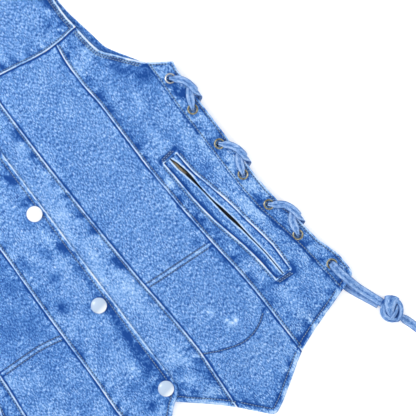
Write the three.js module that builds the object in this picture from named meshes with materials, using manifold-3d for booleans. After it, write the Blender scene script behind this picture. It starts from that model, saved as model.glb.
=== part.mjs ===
// Sleeveless denim vest lying flat on its back, front up. Millimetres, +Z up, floor at z = 0.
// +X is towards the wearer's left, +Y towards the shoulders.
//
// Sizes are laid out as a pattern cutter would: "across" is the distance from the centre front, counted
// outwards on each side, and "down" is the distance below a line level with the top of the armholes.
import * as THREE from 'three';
import { mergeVertices } from 'three/addons/utils/BufferGeometryUtils.js';
import Module from 'manifold-3d';

const wasm = await Module();
wasm.setup();

// Driving sizes
const MID_DOWN = 209.5; // half way between the neck point and the front hem's point
const SEAM_GAP = 0.3;
const DENIM = 1.2;
const STRIP_DENIM = 1.6; // the eyelet strip is two layers
const LINING = 1.0;
const SHOULDER_CLEAR = 1.5; // underside of the front above the floor, at the shoulders
const BODY_CLEAR = 3.4;
const STRIP_CLEAR = 7.2; // the strips lie over the back's strips with the lacing between them
const BACK_STRIP_CLEAR = 2.2; // room for the lace that passes below
const OVERLAP_RISE = 2.2; // the upper front's band lies over the lower one
const SNAP_RADIUS = 8;
const SNAP_HEIGHT = 3;
const EYELET = { hole: 2.7, barrel: 3.0, flange: 5.8, height: 0.8, cut: 3.4 };
const LACE = { width: 8.6, thickness: 1.3, bunched: 3.6, bunchedThickness: 2.2, inside: 5.6, turned: 7.4 };
const SMALL_GAP = 0.45; // hard pieces above cloth whose facets are not quite flat

// Colours
const DENIM_BLUE = 0x6b96d3;
const LACE_BLUE = 0x86a3cf;
const LINING_TAN = 0xb39a72;
const BRASS = 0x9a8a62;
const PEARL = 0xe6eaf0;

// The two fronts: the wearer's right one laps over the other at the centre
const FRONTS = [
  { name: 'left', sign: 1, upper: false },
  { name: 'right', sign: -1, upper: true },
];

function table(columns, rows) {
  return rows.map((row) => Object.fromEntries(columns.map((name, i) => [name, row[i]])));
}

const NECK = table(['across', 'down'], [
  [-11.5, 72], [10, 60], [28, 34], [40, 10], [52, -20], [64, -54], [72, -78],
]);
const SHOULDER_TIP = [150, -52];
const BACK_NECK = table(['across', 'down'], [[0, -60], [25, -61.5], [50, -67], [72, -78]]);

const BAND_SEAM = table(['down', 'left', 'right'], [
  [-10, 40, 46], [57, 40.2, 47], [147, 40.3, 48], [202, 41.5, 48.3], [263, 43.7, 50], [308, 45.8, 50.7],
  [363, 49.3, 51.3], [398, 50.7, 52.7], [430, 49, 51.5], [475, 46, 49],
]);
const SIDE_SEAM = table(['down', 'across'], [
  [60, 121], [97, 116.7], [113, 116.7], [147, 119], [213, 119], [263, 121], [297, 123.3], [330, 126],
  [363, 129.3], [397, 131], [470, 131.7],
]);
const YOKE_SEAM = table(['across', 'down'], [
  [36, 56.5], [57, 60], [75, 63.2], [93, 66.8], [113, 69], [121, 69], [140, 67.6], [150, 66.9],
]);
const POCKET_MOUTH = table(['across', 'left', 'right'], [
  [40, 316.2, 310.5], [60, 317.8, 305], [80, 319, 301.7], [127, 321.8, 300],
]);
const HEM = table(['across', 'down'], [
  [2.5, 428.5], [10, 435], [26.7, 450], [47.5, 470.5], [60, 484.5], [74, 497], [80, 494.8], [100, 483],
  [131.5, 463], [143, 457.5], [170, 448], [200, 437.5],
]);
const HEM_CORNER = [[-11.5, 408], [-10.9, 415], [-6, 422], [2.5, 428.5]];
const HEM_POINT = 74;

const ARMHOLE_TOP = [SHOULDER_TIP, [147, -20], [145.8, 10], [145.2, 33], [144.8, 50], [146.2, 66.9]];
const ARMHOLE_LOW = [[146.2, 66.9], [148.3, 88], [151.5, 101], [159, 110.5], [167, 121], [181, 138.5]];
const STRIP_TOP = [[181, 138.5], [203, 153.5]];
const STRIP_BOTTOM = [[200, 437.5], [209, 434.5], [216.5, 431.5], [220, 428]];
const STRIP_INNER = table(['down', 'across'], [
  [138.5, 181], [160, 180.5], [195, 179.5], [230, 180], [290, 181], [320, 183], [340, 187], [367, 192],
  [395, 196], [437.5, 200],
]);
const STRIP_OUTER = table(['down', 'across'], [
  [153.5, 203], [162, 201.5], [200, 200.5], [290, 200.5], [330, 203.5], [345, 207], [365, 209.5],
  [380, 211.5], [395, 216], [409.5, 219.5], [428, 220],
]);

const BACK_ARMHOLE = [
  SHOULDER_TIP, [149, -20], [147.7, 10], [147.8, 33], [149, 50], [151.5, 65], [155, 85], [157.5, 99],
  [163, 109.5], [169, 119], [176, 130.5], [181, 139.5], [201, 154],
];
const BACK_SIDE = [
  [201, 154], [199.5, 200], [199.5, 290], [202.5, 330], [206, 345], [208.5, 365], [210.5, 380], [215, 395],
  [218.5, 410], [219, 426],
];
const BACK_HEM = [[219, 426], [214, 430], [199, 433], [130, 428], [60, 424], [0, 419]];

// The slanted welt pocket: the window in the side panel, and the slit between its two lips
const WELT = table(['down', 'left', 'slit', 'right', 'open'], [
  [229, 134.8, 141.3, 150.5, 0.8], [250, 136.2, 145.4, 152, 1.8], [272, 137.4, 148.6, 156.6, 1.6],
  [303, 141, 153.4, 163.2, 2.0], [320, 144.6, 156.2, 165.6, 2.2], [345, 150, 160, 169.8, 1.6],
  [365, 153, 162.2, 172, 1.0], [389, 155, 163.4, 171.6, 0.8],
]);
const WELT_TOP = 229;
const WELT_BOTTOM = 389;

const SNAPS = table(['across', 'down'], [[0, 82], [1, 192], [-2.5, 303.5], [1, 410]]);
const EYELETS = table(['across', 'down'], [
  [190.5, 165.5], [190, 203.5], [190.5, 247], [191, 285.5], [193.5, 325], [198.5, 366.5], [208, 410],
]);

// Largest folds, as soft ridges between two points, on the garment as it lies (x to the wearer's left)
const FOLDS = table(['x0', 'down0', 'x1', 'down1', 'height', 'width'], [
  [127, 232, 128, 292, 1.4, 7], [176, 215, 172, 262, 1.6, 9], [181, 300, 178, 355, 1.5, 8],
  [22, 236, 30, 300, 1.6, 13], [-8, 236, -9, 390, 1.3, 9], [24, 330, 30, 395, 1.4, 10],
  [18, 432, 38, 442, 2.0, 7], [140, 428, 147, 454, 2.2, 6], [158, 424, 166, 447, 1.8, 7],
  [84, 462, 88, 484, 1.6, 7], [62, 452, 66, 474, 1.4, 6], [132, 38, 140, 62, 1.5, 6],
  [150, 128, 172, 160, 1.8, 9], [60, 90, 62, 170, 1.2, 14], [95, 230, 88, 290, 1.3, 16],
  [-128, 240, -127, 300, 1.5, 7], [-174, 222, -171, 268, 1.5, 9], [-180, 305, -177, 350, 1.4, 8],
  [-25, 340, -33, 392, 1.5, 10], [-28, 446, -44, 458, 1.6, 7], [-142, 430, -149, 453, 2.0, 6],
  [-160, 425, -168, 446, 1.6, 7], [-86, 464, -90, 484, 1.6, 7], [-134, 36, -140, 60, 1.4, 6],
  [-152, 130, -171, 158, 1.7, 9], [-66, 100, -64, 185, 1.3, 14], [-94, 225, -88, 285, 1.2, 16],
]);

function mix(a, b, t) {
  return a + (b - a) * t;
}

function ease(from, to, value) {
  return THREE.MathUtils.smoothstep(value, from, to);
}

// Reads a table's column at a value of its first column, by a curve that never overshoots its rows.
function read(rows, key, column, value) {
  const last = rows.length - 2;
  let i = rows.findIndex((row, n) => n > last || value < rows[n + 1][key]);
  i = Math.min(Math.max(i, 0), last);
  const slope = (n) => (rows[n + 1][column] - rows[n][column]) / (rows[n + 1][key] - rows[n][key]);
  const bend = (n) => {
    if (n === 0 || n === last + 1) return slope(Math.min(n, last));
    const before = slope(n - 1);
    const after = slope(n);
    return before * after <= 0 ? 0 : (2 * before * after) / (before + after);
  };
  const width = rows[i + 1][key] - rows[i][key];
  const t = THREE.MathUtils.clamp((value - rows[i][key]) / width, 0, 1);
  const rise = rows[i + 1][column] - rows[i][column];
  const start = bend(i) * width;
  const end = bend(i + 1) * width;
  const t2 = t * t;
  const t3 = t2 * t;
  return rows[i][column] + rise * (3 * t2 - 2 * t3) + start * (t3 - 2 * t2 + t) + end * (t3 - t2);
}

// Edges of a panel: functions from 0..1 to [across, down]
function downEdge(rows, column, from, to) {
  return (t) => [read(rows, 'down', column, mix(from, to, t)), mix(from, to, t)];
}

function acrossEdge(rows, column, from, to) {
  return (t) => [mix(from, to, t), read(rows, 'across', column, mix(from, to, t))];
}

function smoothEdge(points) {
  const curve = new THREE.CatmullRomCurve3(points.map(([x, y]) => new THREE.Vector3(x, y, 0)), false, 'centripetal');
  return (t) => {
    const point = curve.getPointAt(THREE.MathUtils.clamp(t, 0, 1));
    return [point.x, point.y];
  };
}

function joinEdges(first, second, share) {
  return (t) => (t < share ? first(t / share) : second((t - share) / (1 - share)));
}

function foldHeight(x, down) {
  let height = 0;
  for (const fold of FOLDS) {
    const dx = fold.x1 - fold.x0;
    const dy = fold.down1 - fold.down0;
    const t = THREE.MathUtils.clamp(((x - fold.x0) * dx + (down - fold.down0) * dy) / (dx * dx + dy * dy), 0, 1);
    const away = Math.hypot(x - fold.x0 - dx * t, down - fold.down0 - dy * t) / fold.width;
    height += fold.height * Math.exp(-away * away);
  }
  return height;
}

// Underside of a front's cloth. It lies on the back, climbs over the lacing at the side, laps over the
// other front at the centre, and comes down to the floor past the back's hem.
function frontUnder(front, across, down) {
  const body = mix(SHOULDER_CLEAR, BODY_CLEAR, ease(-60, 30, down));
  const side = (STRIP_CLEAR - BODY_CLEAR) * ease(140, 180, across) * ease(100, 145, down);
  const lap = front.upper ? OVERLAP_RISE * (1 - ease(13, 28, across)) : 0;
  const hemStart = mix(428, 438, ease(160, 185, across));
  const drop = (1 - ease(14, 40, across)) * 0.5;
  const lying = 1 - ease(hemStart, hemStart + 18, down) * (1 - drop);
  const folds = foldHeight(front.sign * across, down) * (1 - ease(170, 179, across));
  return (body + side + lap) * lying + folds;
}

function backUnder(x, down) {
  return BACK_STRIP_CLEAR * ease(160, 179, Math.abs(x)) * ease(120, 150, down);
}

// A closed wall of cloth over a four-sided patch of the pattern. The edges left and right run down, top and
// bottom run across, and under gives the height of the wall's lower face.
function clothGeometry({ edges, columns, rows, seams = [], sign = 1, under, thickness }) {
  const inset = SEAM_GAP / 2;
  const shift = (name) => (seams.includes(name) ? inset : 0);
  const corner = [edges.top(0), edges.top(1), edges.bottom(0), edges.bottom(1)];
  const positions = [];
  for (let j = 0; j <= rows; j += 1) {
    for (let i = 0; i <= columns; i += 1) {
      const s = i / columns;
      const t = j / rows;
      const [left, right, top, bottom] = [edges.left(t), edges.right(t), edges.top(s), edges.bottom(s)];
      const spot = [0, 1].map((k) => mix(left[k], right[k], s) + mix(top[k], bottom[k], t)
        - mix(mix(corner[0][k], corner[1][k], s), mix(corner[2][k], corner[3][k], s), t));
      if (i === 0) spot[0] += shift('left');
      if (i === columns) spot[0] -= shift('right');
      if (j === 0) spot[1] += shift('top');
      if (j === rows) spot[1] -= shift('bottom');
      const low = under(spot[0], spot[1]);
      positions.push([sign * spot[0], MID_DOWN - spot[1], low]);
    }
  }
  const count = positions.length;
  const upperFace = positions.map(([x, y, z]) => [x, y, z + thickness]);
  const at = (i, j) => j * (columns + 1) + i;
  const faces = [];
  for (let j = 0; j < rows; j += 1) {
    for (let i = 0; i < columns; i += 1) {
      const [a, b, c, d] = [at(i, j), at(i, j + 1), at(i + 1, j + 1), at(i + 1, j)];
      faces.push([a + count, b + count, d + count], [b + count, c + count, d + count]);
      faces.push([a, d, b], [b, d, c]);
    }
  }
  const rim = [];
  for (let j = 0; j < rows; j += 1) rim.push(at(0, j));
  for (let i = 0; i < columns; i += 1) rim.push(at(i, rows));
  for (let j = rows; j > 0; j -= 1) rim.push(at(columns, j));
  for (let i = columns; i > 0; i -= 1) rim.push(at(i, 0));
  rim.forEach((a, n) => {
    const b = rim[(n + 1) % rim.length];
    faces.push([a, b, a + count], [b, b + count, a + count]);
  });
  return closedGeometry([...positions, ...upperFace], faces, sign < 0);
}

function closedGeometry(points, faces, mirrored) {
  const geometry = new THREE.BufferGeometry();
  geometry.setAttribute('position', new THREE.Float32BufferAttribute(points.flat(), 3));
  geometry.setIndex(faces.flatMap(([a, b, c]) => (mirrored ? [a, c, b] : [a, b, c])));
  return geometry;
}

function toSolid(geometry) {
  const bare = geometry.clone();
  bare.deleteAttribute('normal');
  bare.deleteAttribute('uv');
  const merged = mergeVertices(bare, 1e-4);
  return new wasm.Manifold(new wasm.Mesh({
    numProp: 3,
    vertProperties: new Float32Array(merged.attributes.position.array),
    triVerts: new Uint32Array(merged.index.array),
  }));
}

function toGeometry(solid) {
  const mesh = solid.getMesh();
  const geometry = new THREE.BufferGeometry();
  geometry.setAttribute('position', new THREE.Float32BufferAttribute(mesh.vertProperties, 3));
  geometry.setIndex(Array.from(mesh.triVerts));
  return geometry;
}

// Cuts an upright hole of the given outline, a list of [x, y] corners, right through a geometry.
function cutThrough(geometry, outlines) {
  const height = 40;
  let solid = toSolid(geometry);
  for (const outline of outlines) {
    const shape = new THREE.Shape(outline.map(([x, y]) => new THREE.Vector2(x, y)));
    const cutter = new THREE.ExtrudeGeometry(shape, { depth: height, bevelEnabled: false, steps: 1 });
    cutter.translate(0, 0, -height / 2);
    solid = solid.subtract(toSolid(cutter));
  }
  return toGeometry(solid);
}

function ringOutline(x, y, radius, sides = 10) {
  return Array.from({ length: sides }, (_, n) => {
    const angle = (2 * Math.PI * n) / sides;
    return [x + radius * Math.cos(angle), y + radius * Math.sin(angle)];
  });
}

function cloth(color) {
  return new THREE.MeshStandardMaterial({ color, roughness: 0.95, metalness: 0 });
}

function metal(color) {
  return new THREE.MeshStandardMaterial({ color, roughness: 0.35, metalness: 0.9 });
}

const vest = new THREE.Group();
vest.name = 'denim_vest';

function add(name, geometry, material) {
  const mesh = new THREE.Mesh(geometry, material);
  mesh.name = name;
  vest.add(mesh);
  return mesh;
}

function addBack() {
  const columns = 22;
  const rows = 16;
  const shoulderShare = 4 / columns;
  const armholeShare = 7 / rows;
  const right = joinEdges(smoothEdge(BACK_ARMHOLE), smoothEdge(BACK_SIDE), armholeShare);
  const left = (t) => [-right(t)[0], right(t)[1]];
  const neck = (t) => {
    const across = mix(-BACK_NECK.at(-1).across, BACK_NECK.at(-1).across, t);
    return [across, read(BACK_NECK, 'across', 'down', Math.abs(across))];
  };
  const line = (from, to) => (t) => [mix(from[0], to[0], t), mix(from[1], to[1], t)];
  const neckEnd = [BACK_NECK.at(-1).across, BACK_NECK.at(-1).down];
  const mirror = ([across, down]) => [-across, down];
  const top = joinEdges(
    line(mirror(SHOULDER_TIP), mirror(neckEnd)),
    joinEdges(neck, line(neckEnd, SHOULDER_TIP), (1 - 2 * shoulderShare) / (1 - shoulderShare)),
    shoulderShare,
  );
  const halfHem = smoothEdge(BACK_HEM);
  const bottom = (t) => (t < 0.5 ? mirror(halfHem(2 * t)) : halfHem(2 - 2 * t));
  const geometry = clothGeometry({
    edges: { left, right, top, bottom }, columns, rows, under: backUnder, thickness: DENIM,
  });
  const holes = EYELETS.flatMap(({ across, down }) => FRONTS.map(({ sign }) => (
    ringOutline(sign * across, MID_DOWN - down, EYELET.cut))));
  add('back', cutThrough(geometry, holes), cloth(DENIM_BLUE));
}

function addFrontPanels(front) {
  const { name, sign } = front;
  const seam = (from, to) => downEdge(BAND_SEAM, name, from, to);
  const under = (across, down) => frontUnder(front, across, down);
  const yokeAt = (across) => read(YOKE_SEAM, 'across', 'down', across);
  const mouthAt = (across) => read(POCKET_MOUTH, 'across', name, across);
  const hemAt = (across) => read(HEM, 'across', 'down', across);
  const neckAt = (across) => read(NECK, 'across', 'down', across);
  const seamAt = (down) => read(BAND_SEAM, 'down', name, down);
  const sideAt = (down) => read(SIDE_SEAM, 'down', 'across', down);
  const bandTop = seamAt(neckAt(seamAt(0)));
  const bandYoke = seamAt(57);
  const bandMouth = seamAt(mouthAt(seamAt(310)));
  const bandHem = seamAt(hemAt(seamAt(470)));
  const sideYoke = sideAt(yokeAt(sideAt(69)));
  const sideMouth = sideAt(mouthAt(sideAt(320)));
  const sideHem = sideAt(hemAt(sideAt(463)));
  const make = (part, edges, columns, rows, seams) => add(
    `${part}_${name}`,
    clothGeometry({ edges, columns, rows, seams, sign, under, thickness: DENIM }),
    cloth(DENIM_BLUE),
  );

  make('band', {
    left: (t) => [NECK[0].across, mix(NECK[0].down, HEM_CORNER[0][1], t)],
    right: seam(neckAt(bandTop), hemAt(bandHem)),
    top: acrossEdge(NECK, 'down', NECK[0].across, bandTop),
    bottom: joinEdges(smoothEdge(HEM_CORNER), acrossEdge(HEM, 'down', HEM_CORNER.at(-1)[0], bandHem), 2 / 5),
  }, 5, 27, ['right']);

  const neckShare = 7 / 10;
  const neckUp = (t) => {
    const across = mix(NECK.at(-1).across, bandTop, t);
    return [across, neckAt(across)];
  };
  make('yoke', {
    left: joinEdges(neckUp, seam(neckAt(bandTop), yokeAt(bandYoke)), neckShare),
    right: smoothEdge(ARMHOLE_TOP),
    top: (t) => [mix(NECK.at(-1).across, SHOULDER_TIP[0], t), mix(NECK.at(-1).down, SHOULDER_TIP[1], t)],
    bottom: joinEdges(
      acrossEdge(YOKE_SEAM, 'down', bandYoke, sideYoke),
      acrossEdge(YOKE_SEAM, 'down', sideYoke, ARMHOLE_TOP.at(-1)[0]),
      6 / 8,
    ),
  }, 8, 10, ['left', 'bottom']);

  make('centre_upper', {
    left: seam(yokeAt(bandYoke), mouthAt(bandMouth)),
    right: downEdge(SIDE_SEAM, 'across', yokeAt(sideYoke), mouthAt(sideMouth)),
    top: acrossEdge(YOKE_SEAM, 'down', bandYoke, sideYoke),
    bottom: acrossEdge(POCKET_MOUTH, name, bandMouth, sideMouth),
  }, 6, 17, ['left', 'right', 'top', 'bottom']);

  const pointShare = 3 / 9;
  make('centre_lower', {
    left: seam(mouthAt(bandMouth), hemAt(bandHem)),
    right: downEdge(SIDE_SEAM, 'across', mouthAt(sideMouth), hemAt(sideHem)),
    top: acrossEdge(POCKET_MOUTH, name, bandMouth, sideMouth),
    bottom: joinEdges(
      acrossEdge(HEM, 'down', bandHem, HEM_POINT),
      acrossEdge(HEM, 'down', HEM_POINT, sideHem),
      pointShare,
    ),
  }, 9, 11, ['left', 'right', 'top']);

  const armShare = 6 / 29;
  const armEnd = ARMHOLE_LOW.at(-1)[1];
  const side = clothGeometry({
    edges: {
      left: joinEdges(
        downEdge(SIDE_SEAM, 'across', yokeAt(sideYoke), armEnd),
        downEdge(SIDE_SEAM, 'across', armEnd, hemAt(sideHem)),
        armShare,
      ),
      right: joinEdges(smoothEdge(ARMHOLE_LOW), downEdge(STRIP_INNER, 'across', armEnd, STRIP_BOTTOM[0][1]), armShare),
      top: acrossEdge(YOKE_SEAM, 'down', sideYoke, ARMHOLE_LOW[0][0]),
      bottom: acrossEdge(HEM, 'down', sideHem, STRIP_BOTTOM[0][0]),
    },
    columns: 5, rows: 29, seams: ['left', 'right', 'top'], sign, under, thickness: DENIM,
  });
  add(`side_${name}`, cutThrough(side, [weltOutline(sign)]), cloth(DENIM_BLUE));
}

function weltOutline(sign) {
  const steps = 12;
  const inset = SEAM_GAP / 2;
  const outline = [];
  for (let n = 0; n <= steps; n += 1) {
    const down = mix(WELT_TOP, WELT_BOTTOM, n / steps);
    outline.push([sign * (read(WELT, 'down', 'left', down) - inset), MID_DOWN - down]);
  }
  for (let n = steps; n >= 0; n -= 1) {
    const down = mix(WELT_TOP, WELT_BOTTOM, n / steps);
    outline.push([sign * (read(WELT, 'down', 'right', down) + inset), MID_DOWN - down]);
  }
  return outline;
}

function addWeltPocket(front) {
  const { name, sign } = front;
  const end = SEAM_GAP;
  const [from, to] = [WELT_TOP + end, WELT_BOTTOM - end];
  const sunk = 0.35; // the lips sit a little below the panel's face
  const under = (across, down) => frontUnder(front, across, down) - sunk;
  const slitSide = (side) => (t) => {
    const down = mix(from, to, t);
    return [read(WELT, 'down', 'slit', down) + (side * read(WELT, 'down', 'open', down)) / 2, down];
  };
  const level = (first, second, t0) => (s) => [mix(first(t0)[0], second(t0)[0], s), first(t0)[1]];
  const lip = (part, left, right, seams) => add(`welt_${part}_${name}`, clothGeometry({
    edges: { left, right, top: level(left, right, 0), bottom: level(left, right, 1) },
    columns: 2, rows: 12, seams, sign, under, thickness: DENIM,
  }), cloth(DENIM_BLUE));
  lip('inner', downEdge(WELT, 'left', from, to), slitSide(-1), ['left']);
  lip('outer', slitSide(1), downEdge(WELT, 'right', from, to), ['right']);

  const bag = table(['down', 'left', 'right'], [[222, 128, 160], [300, 131, 171], [398, 142, 178]]);
  const bagAt = (column) => downEdge(bag, column, bag[0].down, bag.at(-1).down);
  const room = 0.9; // below the sunk lips
  add(`pocket_bag_${name}`, clothGeometry({
    edges: {
      left: bagAt('left'), right: bagAt('right'), top: level(bagAt('left'), bagAt('right'), 0),
      bottom: level(bagAt('left'), bagAt('right'), 1),
    },
    columns: 3,
    rows: 8,
    sign,
    under: (across, down) => frontUnder(front, across, down) - foldHeight(sign * across, down) - LINING - room,
    thickness: LINING,
  }), cloth(LINING_TAN));
}

function addStrip(front) {
  const { name, sign } = front;
  const [stripTop, stripBottom] = [STRIP_TOP[0][1], STRIP_BOTTOM[0][1]];
  const strip = clothGeometry({
    edges: {
      left: downEdge(STRIP_INNER, 'across', stripTop, stripBottom),
      right: downEdge(STRIP_OUTER, 'across', STRIP_TOP.at(-1)[1], STRIP_BOTTOM.at(-1)[1]),
      top: smoothEdge(STRIP_TOP),
      bottom: smoothEdge(STRIP_BOTTOM),
    },
    columns: 2,
    rows: 22,
    seams: ['left'],
    sign,
    under: (across, down) => frontUnder(front, across, down),
    thickness: STRIP_DENIM,
  });
  const holes = EYELETS.map(({ across, down }) => ringOutline(sign * across, MID_DOWN - down, EYELET.cut));
  add(`lace_strip_${name}`, cutThrough(strip, holes), cloth(DENIM_BLUE));

  EYELETS.forEach(({ across, down }, n) => {
    const seat = frontUnder(front, across, down) + STRIP_DENIM + SEAM_GAP;
    const foot = -STRIP_DENIM - SEAM_GAP;
    const profile = [
      [EYELET.hole, foot], [EYELET.barrel, foot], [EYELET.barrel, 0], [EYELET.flange, 0],
      [(EYELET.flange + EYELET.hole) / 2, EYELET.height], [EYELET.hole, EYELET.height / 2], [EYELET.hole, foot],
    ].map(([r, z]) => new THREE.Vector2(r, z));
    const ring = new THREE.LatheGeometry(profile, 10);
    ring.rotateX(Math.PI / 2);
    const eyelet = add(`eyelet_${name}_${n + 1}`, ring, metal(BRASS));
    eyelet.position.set(sign * across, MID_DOWN - down, seat);
  });
}

function addSnaps() {
  const upper = FRONTS.find((front) => front.upper);
  const profile = [
    [0, 0], [SNAP_RADIUS - 0.6, 0], [SNAP_RADIUS, 0.7], [SNAP_RADIUS - 1, 1.9], [SNAP_RADIUS * 0.55, SNAP_HEIGHT - 0.4],
    [0, SNAP_HEIGHT],
  ].map(([r, z]) => new THREE.Vector2(r, z));
  SNAPS.forEach(({ across, down }, n) => {
    const cap = new THREE.LatheGeometry(profile, 16);
    cap.rotateX(Math.PI / 2);
    const reach = SNAP_RADIUS * 0.7;
    const around = [[0, 0], [reach, 0], [-reach, 0], [0, reach], [0, -reach]];
    const seat = Math.max(...around.map(([dx, dy]) => frontUnder(upper, upper.sign * (across + dx), down + dy)));
    const snap = add(`snap_${n + 1}`, cap, metal(PEARL));
    snap.position.set(across, MID_DOWN - down, seat + DENIM + SMALL_GAP);
  });
}

// A flat lace swept through stations {point: [across, down, z], normal: [across, down, z], width, thickness}.
function laceGeometry(stations, sign) {
  const section = [[0.5, 0], [0.4, 0.5], [-0.4, 0.5], [-0.5, 0], [-0.4, -0.5], [0.4, -0.5]];
  const toWorld = ([across, down, z]) => new THREE.Vector3(across, -down, z);
  const centres = stations.map(({ point }) => toWorld(point));
  const curve = new THREE.CatmullRomCurve3(centres, false, 'centripetal');
  const points = [];
  stations.forEach((station, n) => {
    const tangent = curve.getTangent(n / (stations.length - 1));
    const across = new THREE.Vector3().crossVectors(toWorld(station.normal), tangent).normalize();
    const up = new THREE.Vector3().crossVectors(tangent, across).normalize();
    for (const [u, v] of section) {
      const point = centres[n].clone();
      point.addScaledVector(across, u * station.width).addScaledVector(up, v * station.thickness);
      points.push([sign * point.x, point.y + MID_DOWN, point.z]);
    }
  });
  const sides = section.length;
  const faces = [];
  for (let n = 0; n + 1 < stations.length; n += 1) {
    for (let k = 0; k < sides; k += 1) {
      const a = n * sides + k;
      const b = n * sides + ((k + 1) % sides);
      faces.push([a, b, a + sides], [b, b + sides, a + sides]);
    }
  }
  const end = (stations.length - 1) * sides;
  for (let k = 1; k + 1 < sides; k += 1) {
    faces.push([0, k + 1, k], [end, end + k, end + k + 1]);
  }
  return closedGeometry(points, faces, sign < 0);
}

const TOP = STRIP_CLEAR + STRIP_DENIM; // face of the eyelet strip
const OVER_FLANGE = TOP + SEAM_GAP + EYELET.height + 0.35 + LACE.thickness / 2;
const ON_STRIP = TOP + 0.5 + LACE.thickness / 2;
const CROSSING = ON_STRIP + LACE.thickness + 0.9;
const BELOW = 0.2 + LACE.thickness / 2;
const INSIDE_LOW = BACK_STRIP_CLEAR + DENIM + 0.3 + LACE.thickness / 2;
const INSIDE_HIGH = STRIP_CLEAR - 0.6 - LACE.thickness / 2;
const LACE_MIDDLE = (INSIDE_LOW + INSIDE_HIGH) / 2;
const UP = [0, 0, 1];
const DOWNWARDS = [0, 0, -1];

function station(across, down, z, normal, width = LACE.width, thickness = LACE.thickness) {
  return { point: [across, down, z], normal, width, thickness };
}

function heading(from, to) {
  const length = Math.hypot(to[0] - from[0], to[1] - from[1]);
  return [(to[0] - from[0]) / length, (to[1] - from[1]) / length];
}

// The lace bunched up in an eyelet, between heights z0 and z1, its flat side turned to the way it leaves
function inHole(eyelet, z0, z1, way) {
  const normal = [-way[0] * Math.sign(z1 - z0), -way[1] * Math.sign(z1 - z0), 0];
  return [0, 1].map((t) => station(
    eyelet.across, eyelet.down, mix(z0, z1, t), normal, LACE.bunched, LACE.bunchedThickness,
  ));
}

// Outside an eyelet, on its way towards a spot: over the flange, then down to the cloth
function leaving(eyelet, spot, z, normal) {
  const [dx, dy] = heading([eyelet.across, eyelet.down], spot);
  const at = (reach, width, thickness) => station(
    eyelet.across + dx * reach, eyelet.down + dy * reach, z, normal, width, thickness,
  );
  return [at(2.2, 4.4, 1.5), at(6, 7.4, LACE.thickness)];
}

const edgeAt = (down) => read(STRIP_OUTER, 'down', 'across', THREE.MathUtils.clamp(down, 153.5, 428));

// From the upper eyelet, over the other strand and the edge, to the next eyelet of the back
function wrapOver(from, to) {
  const middle = (from.down + to.down) / 2 - 1;
  const edge = edgeAt(middle + 6);
  const turn = [
    station(edge - 2.4, middle - 10.5, CROSSING - 0.4, UP, LACE.turned),
    station(edge + 1, middle - 4, CROSSING, UP, LACE.turned),
    station(edge + 2.4, middle + 3, CROSSING, UP, LACE.turned),
    station(edge + 3, middle + 8.5, CROSSING - 1, [0.5, 0, 0.86], LACE.turned),
    station(edge + 4.4, middle + 12, TOP / 2 + 0.8, [1, 0, 0], LACE.turned),
    station(edge + 2.9, middle + 13, BELOW + 0.9, [0.6, 0, -0.8], LACE.turned),
    station(edge - 2.6, middle + 14.5, BELOW, DOWNWARDS),
  ];
  return {
    exit: leaving(from, turn[0].point, OVER_FLANGE, UP),
    turn,
    entry: leaving(to, turn.at(-1).point, BELOW, DOWNWARDS).reverse(),
  };
}

// From an eyelet of the back, round the edge and under the other strand, to the front's next eyelet
function wrapUnder(from, to) {
  const middle = (from.down + to.down) / 2 - 1;
  const edge = edgeAt(middle);
  const turn = [
    station(edge - 3, middle - 4.6, BELOW, DOWNWARDS),
    station(edge + 2, middle - 3.2, BELOW + 0.8, [0.6, 0, -0.8], LACE.turned),
    station(edge + 2.6, middle - 2, TOP / 2 + 0.3, [1, 0, 0], LACE.turned),
    station(edge + 2, middle - 0.6, ON_STRIP - 0.1, [0.6, 0, 0.8], LACE.turned),
    station(edge - 1.6, middle + 3, ON_STRIP + 0.1, UP, LACE.turned),
    station(edge - 4.6, middle + 7.5, ON_STRIP, UP),
  ];
  return {
    exit: leaving(from, turn[0].point, BELOW, DOWNWARDS),
    turn,
    entry: leaving(to, turn.at(-1).point, OVER_FLANGE, UP).reverse(),
  };
}

// Between two eyelets, hidden between the front's strip and the back's
function insideRun(from, to, side, z0, z1) {
  const at = (eyelet, dx, dy, z, width) => station(
    eyelet.across + side * dx, eyelet.down + dy, z, UP, width, LACE.thickness,
  );
  return [
    at(from, 1.2, 2.4, z0, 4.2), at(from, 3.9, 8, z0, LACE.inside), at(to, 3.9, -8, z1, LACE.inside),
    at(to, 1.2, -2.4, z1, 4.2),
  ];
}

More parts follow.
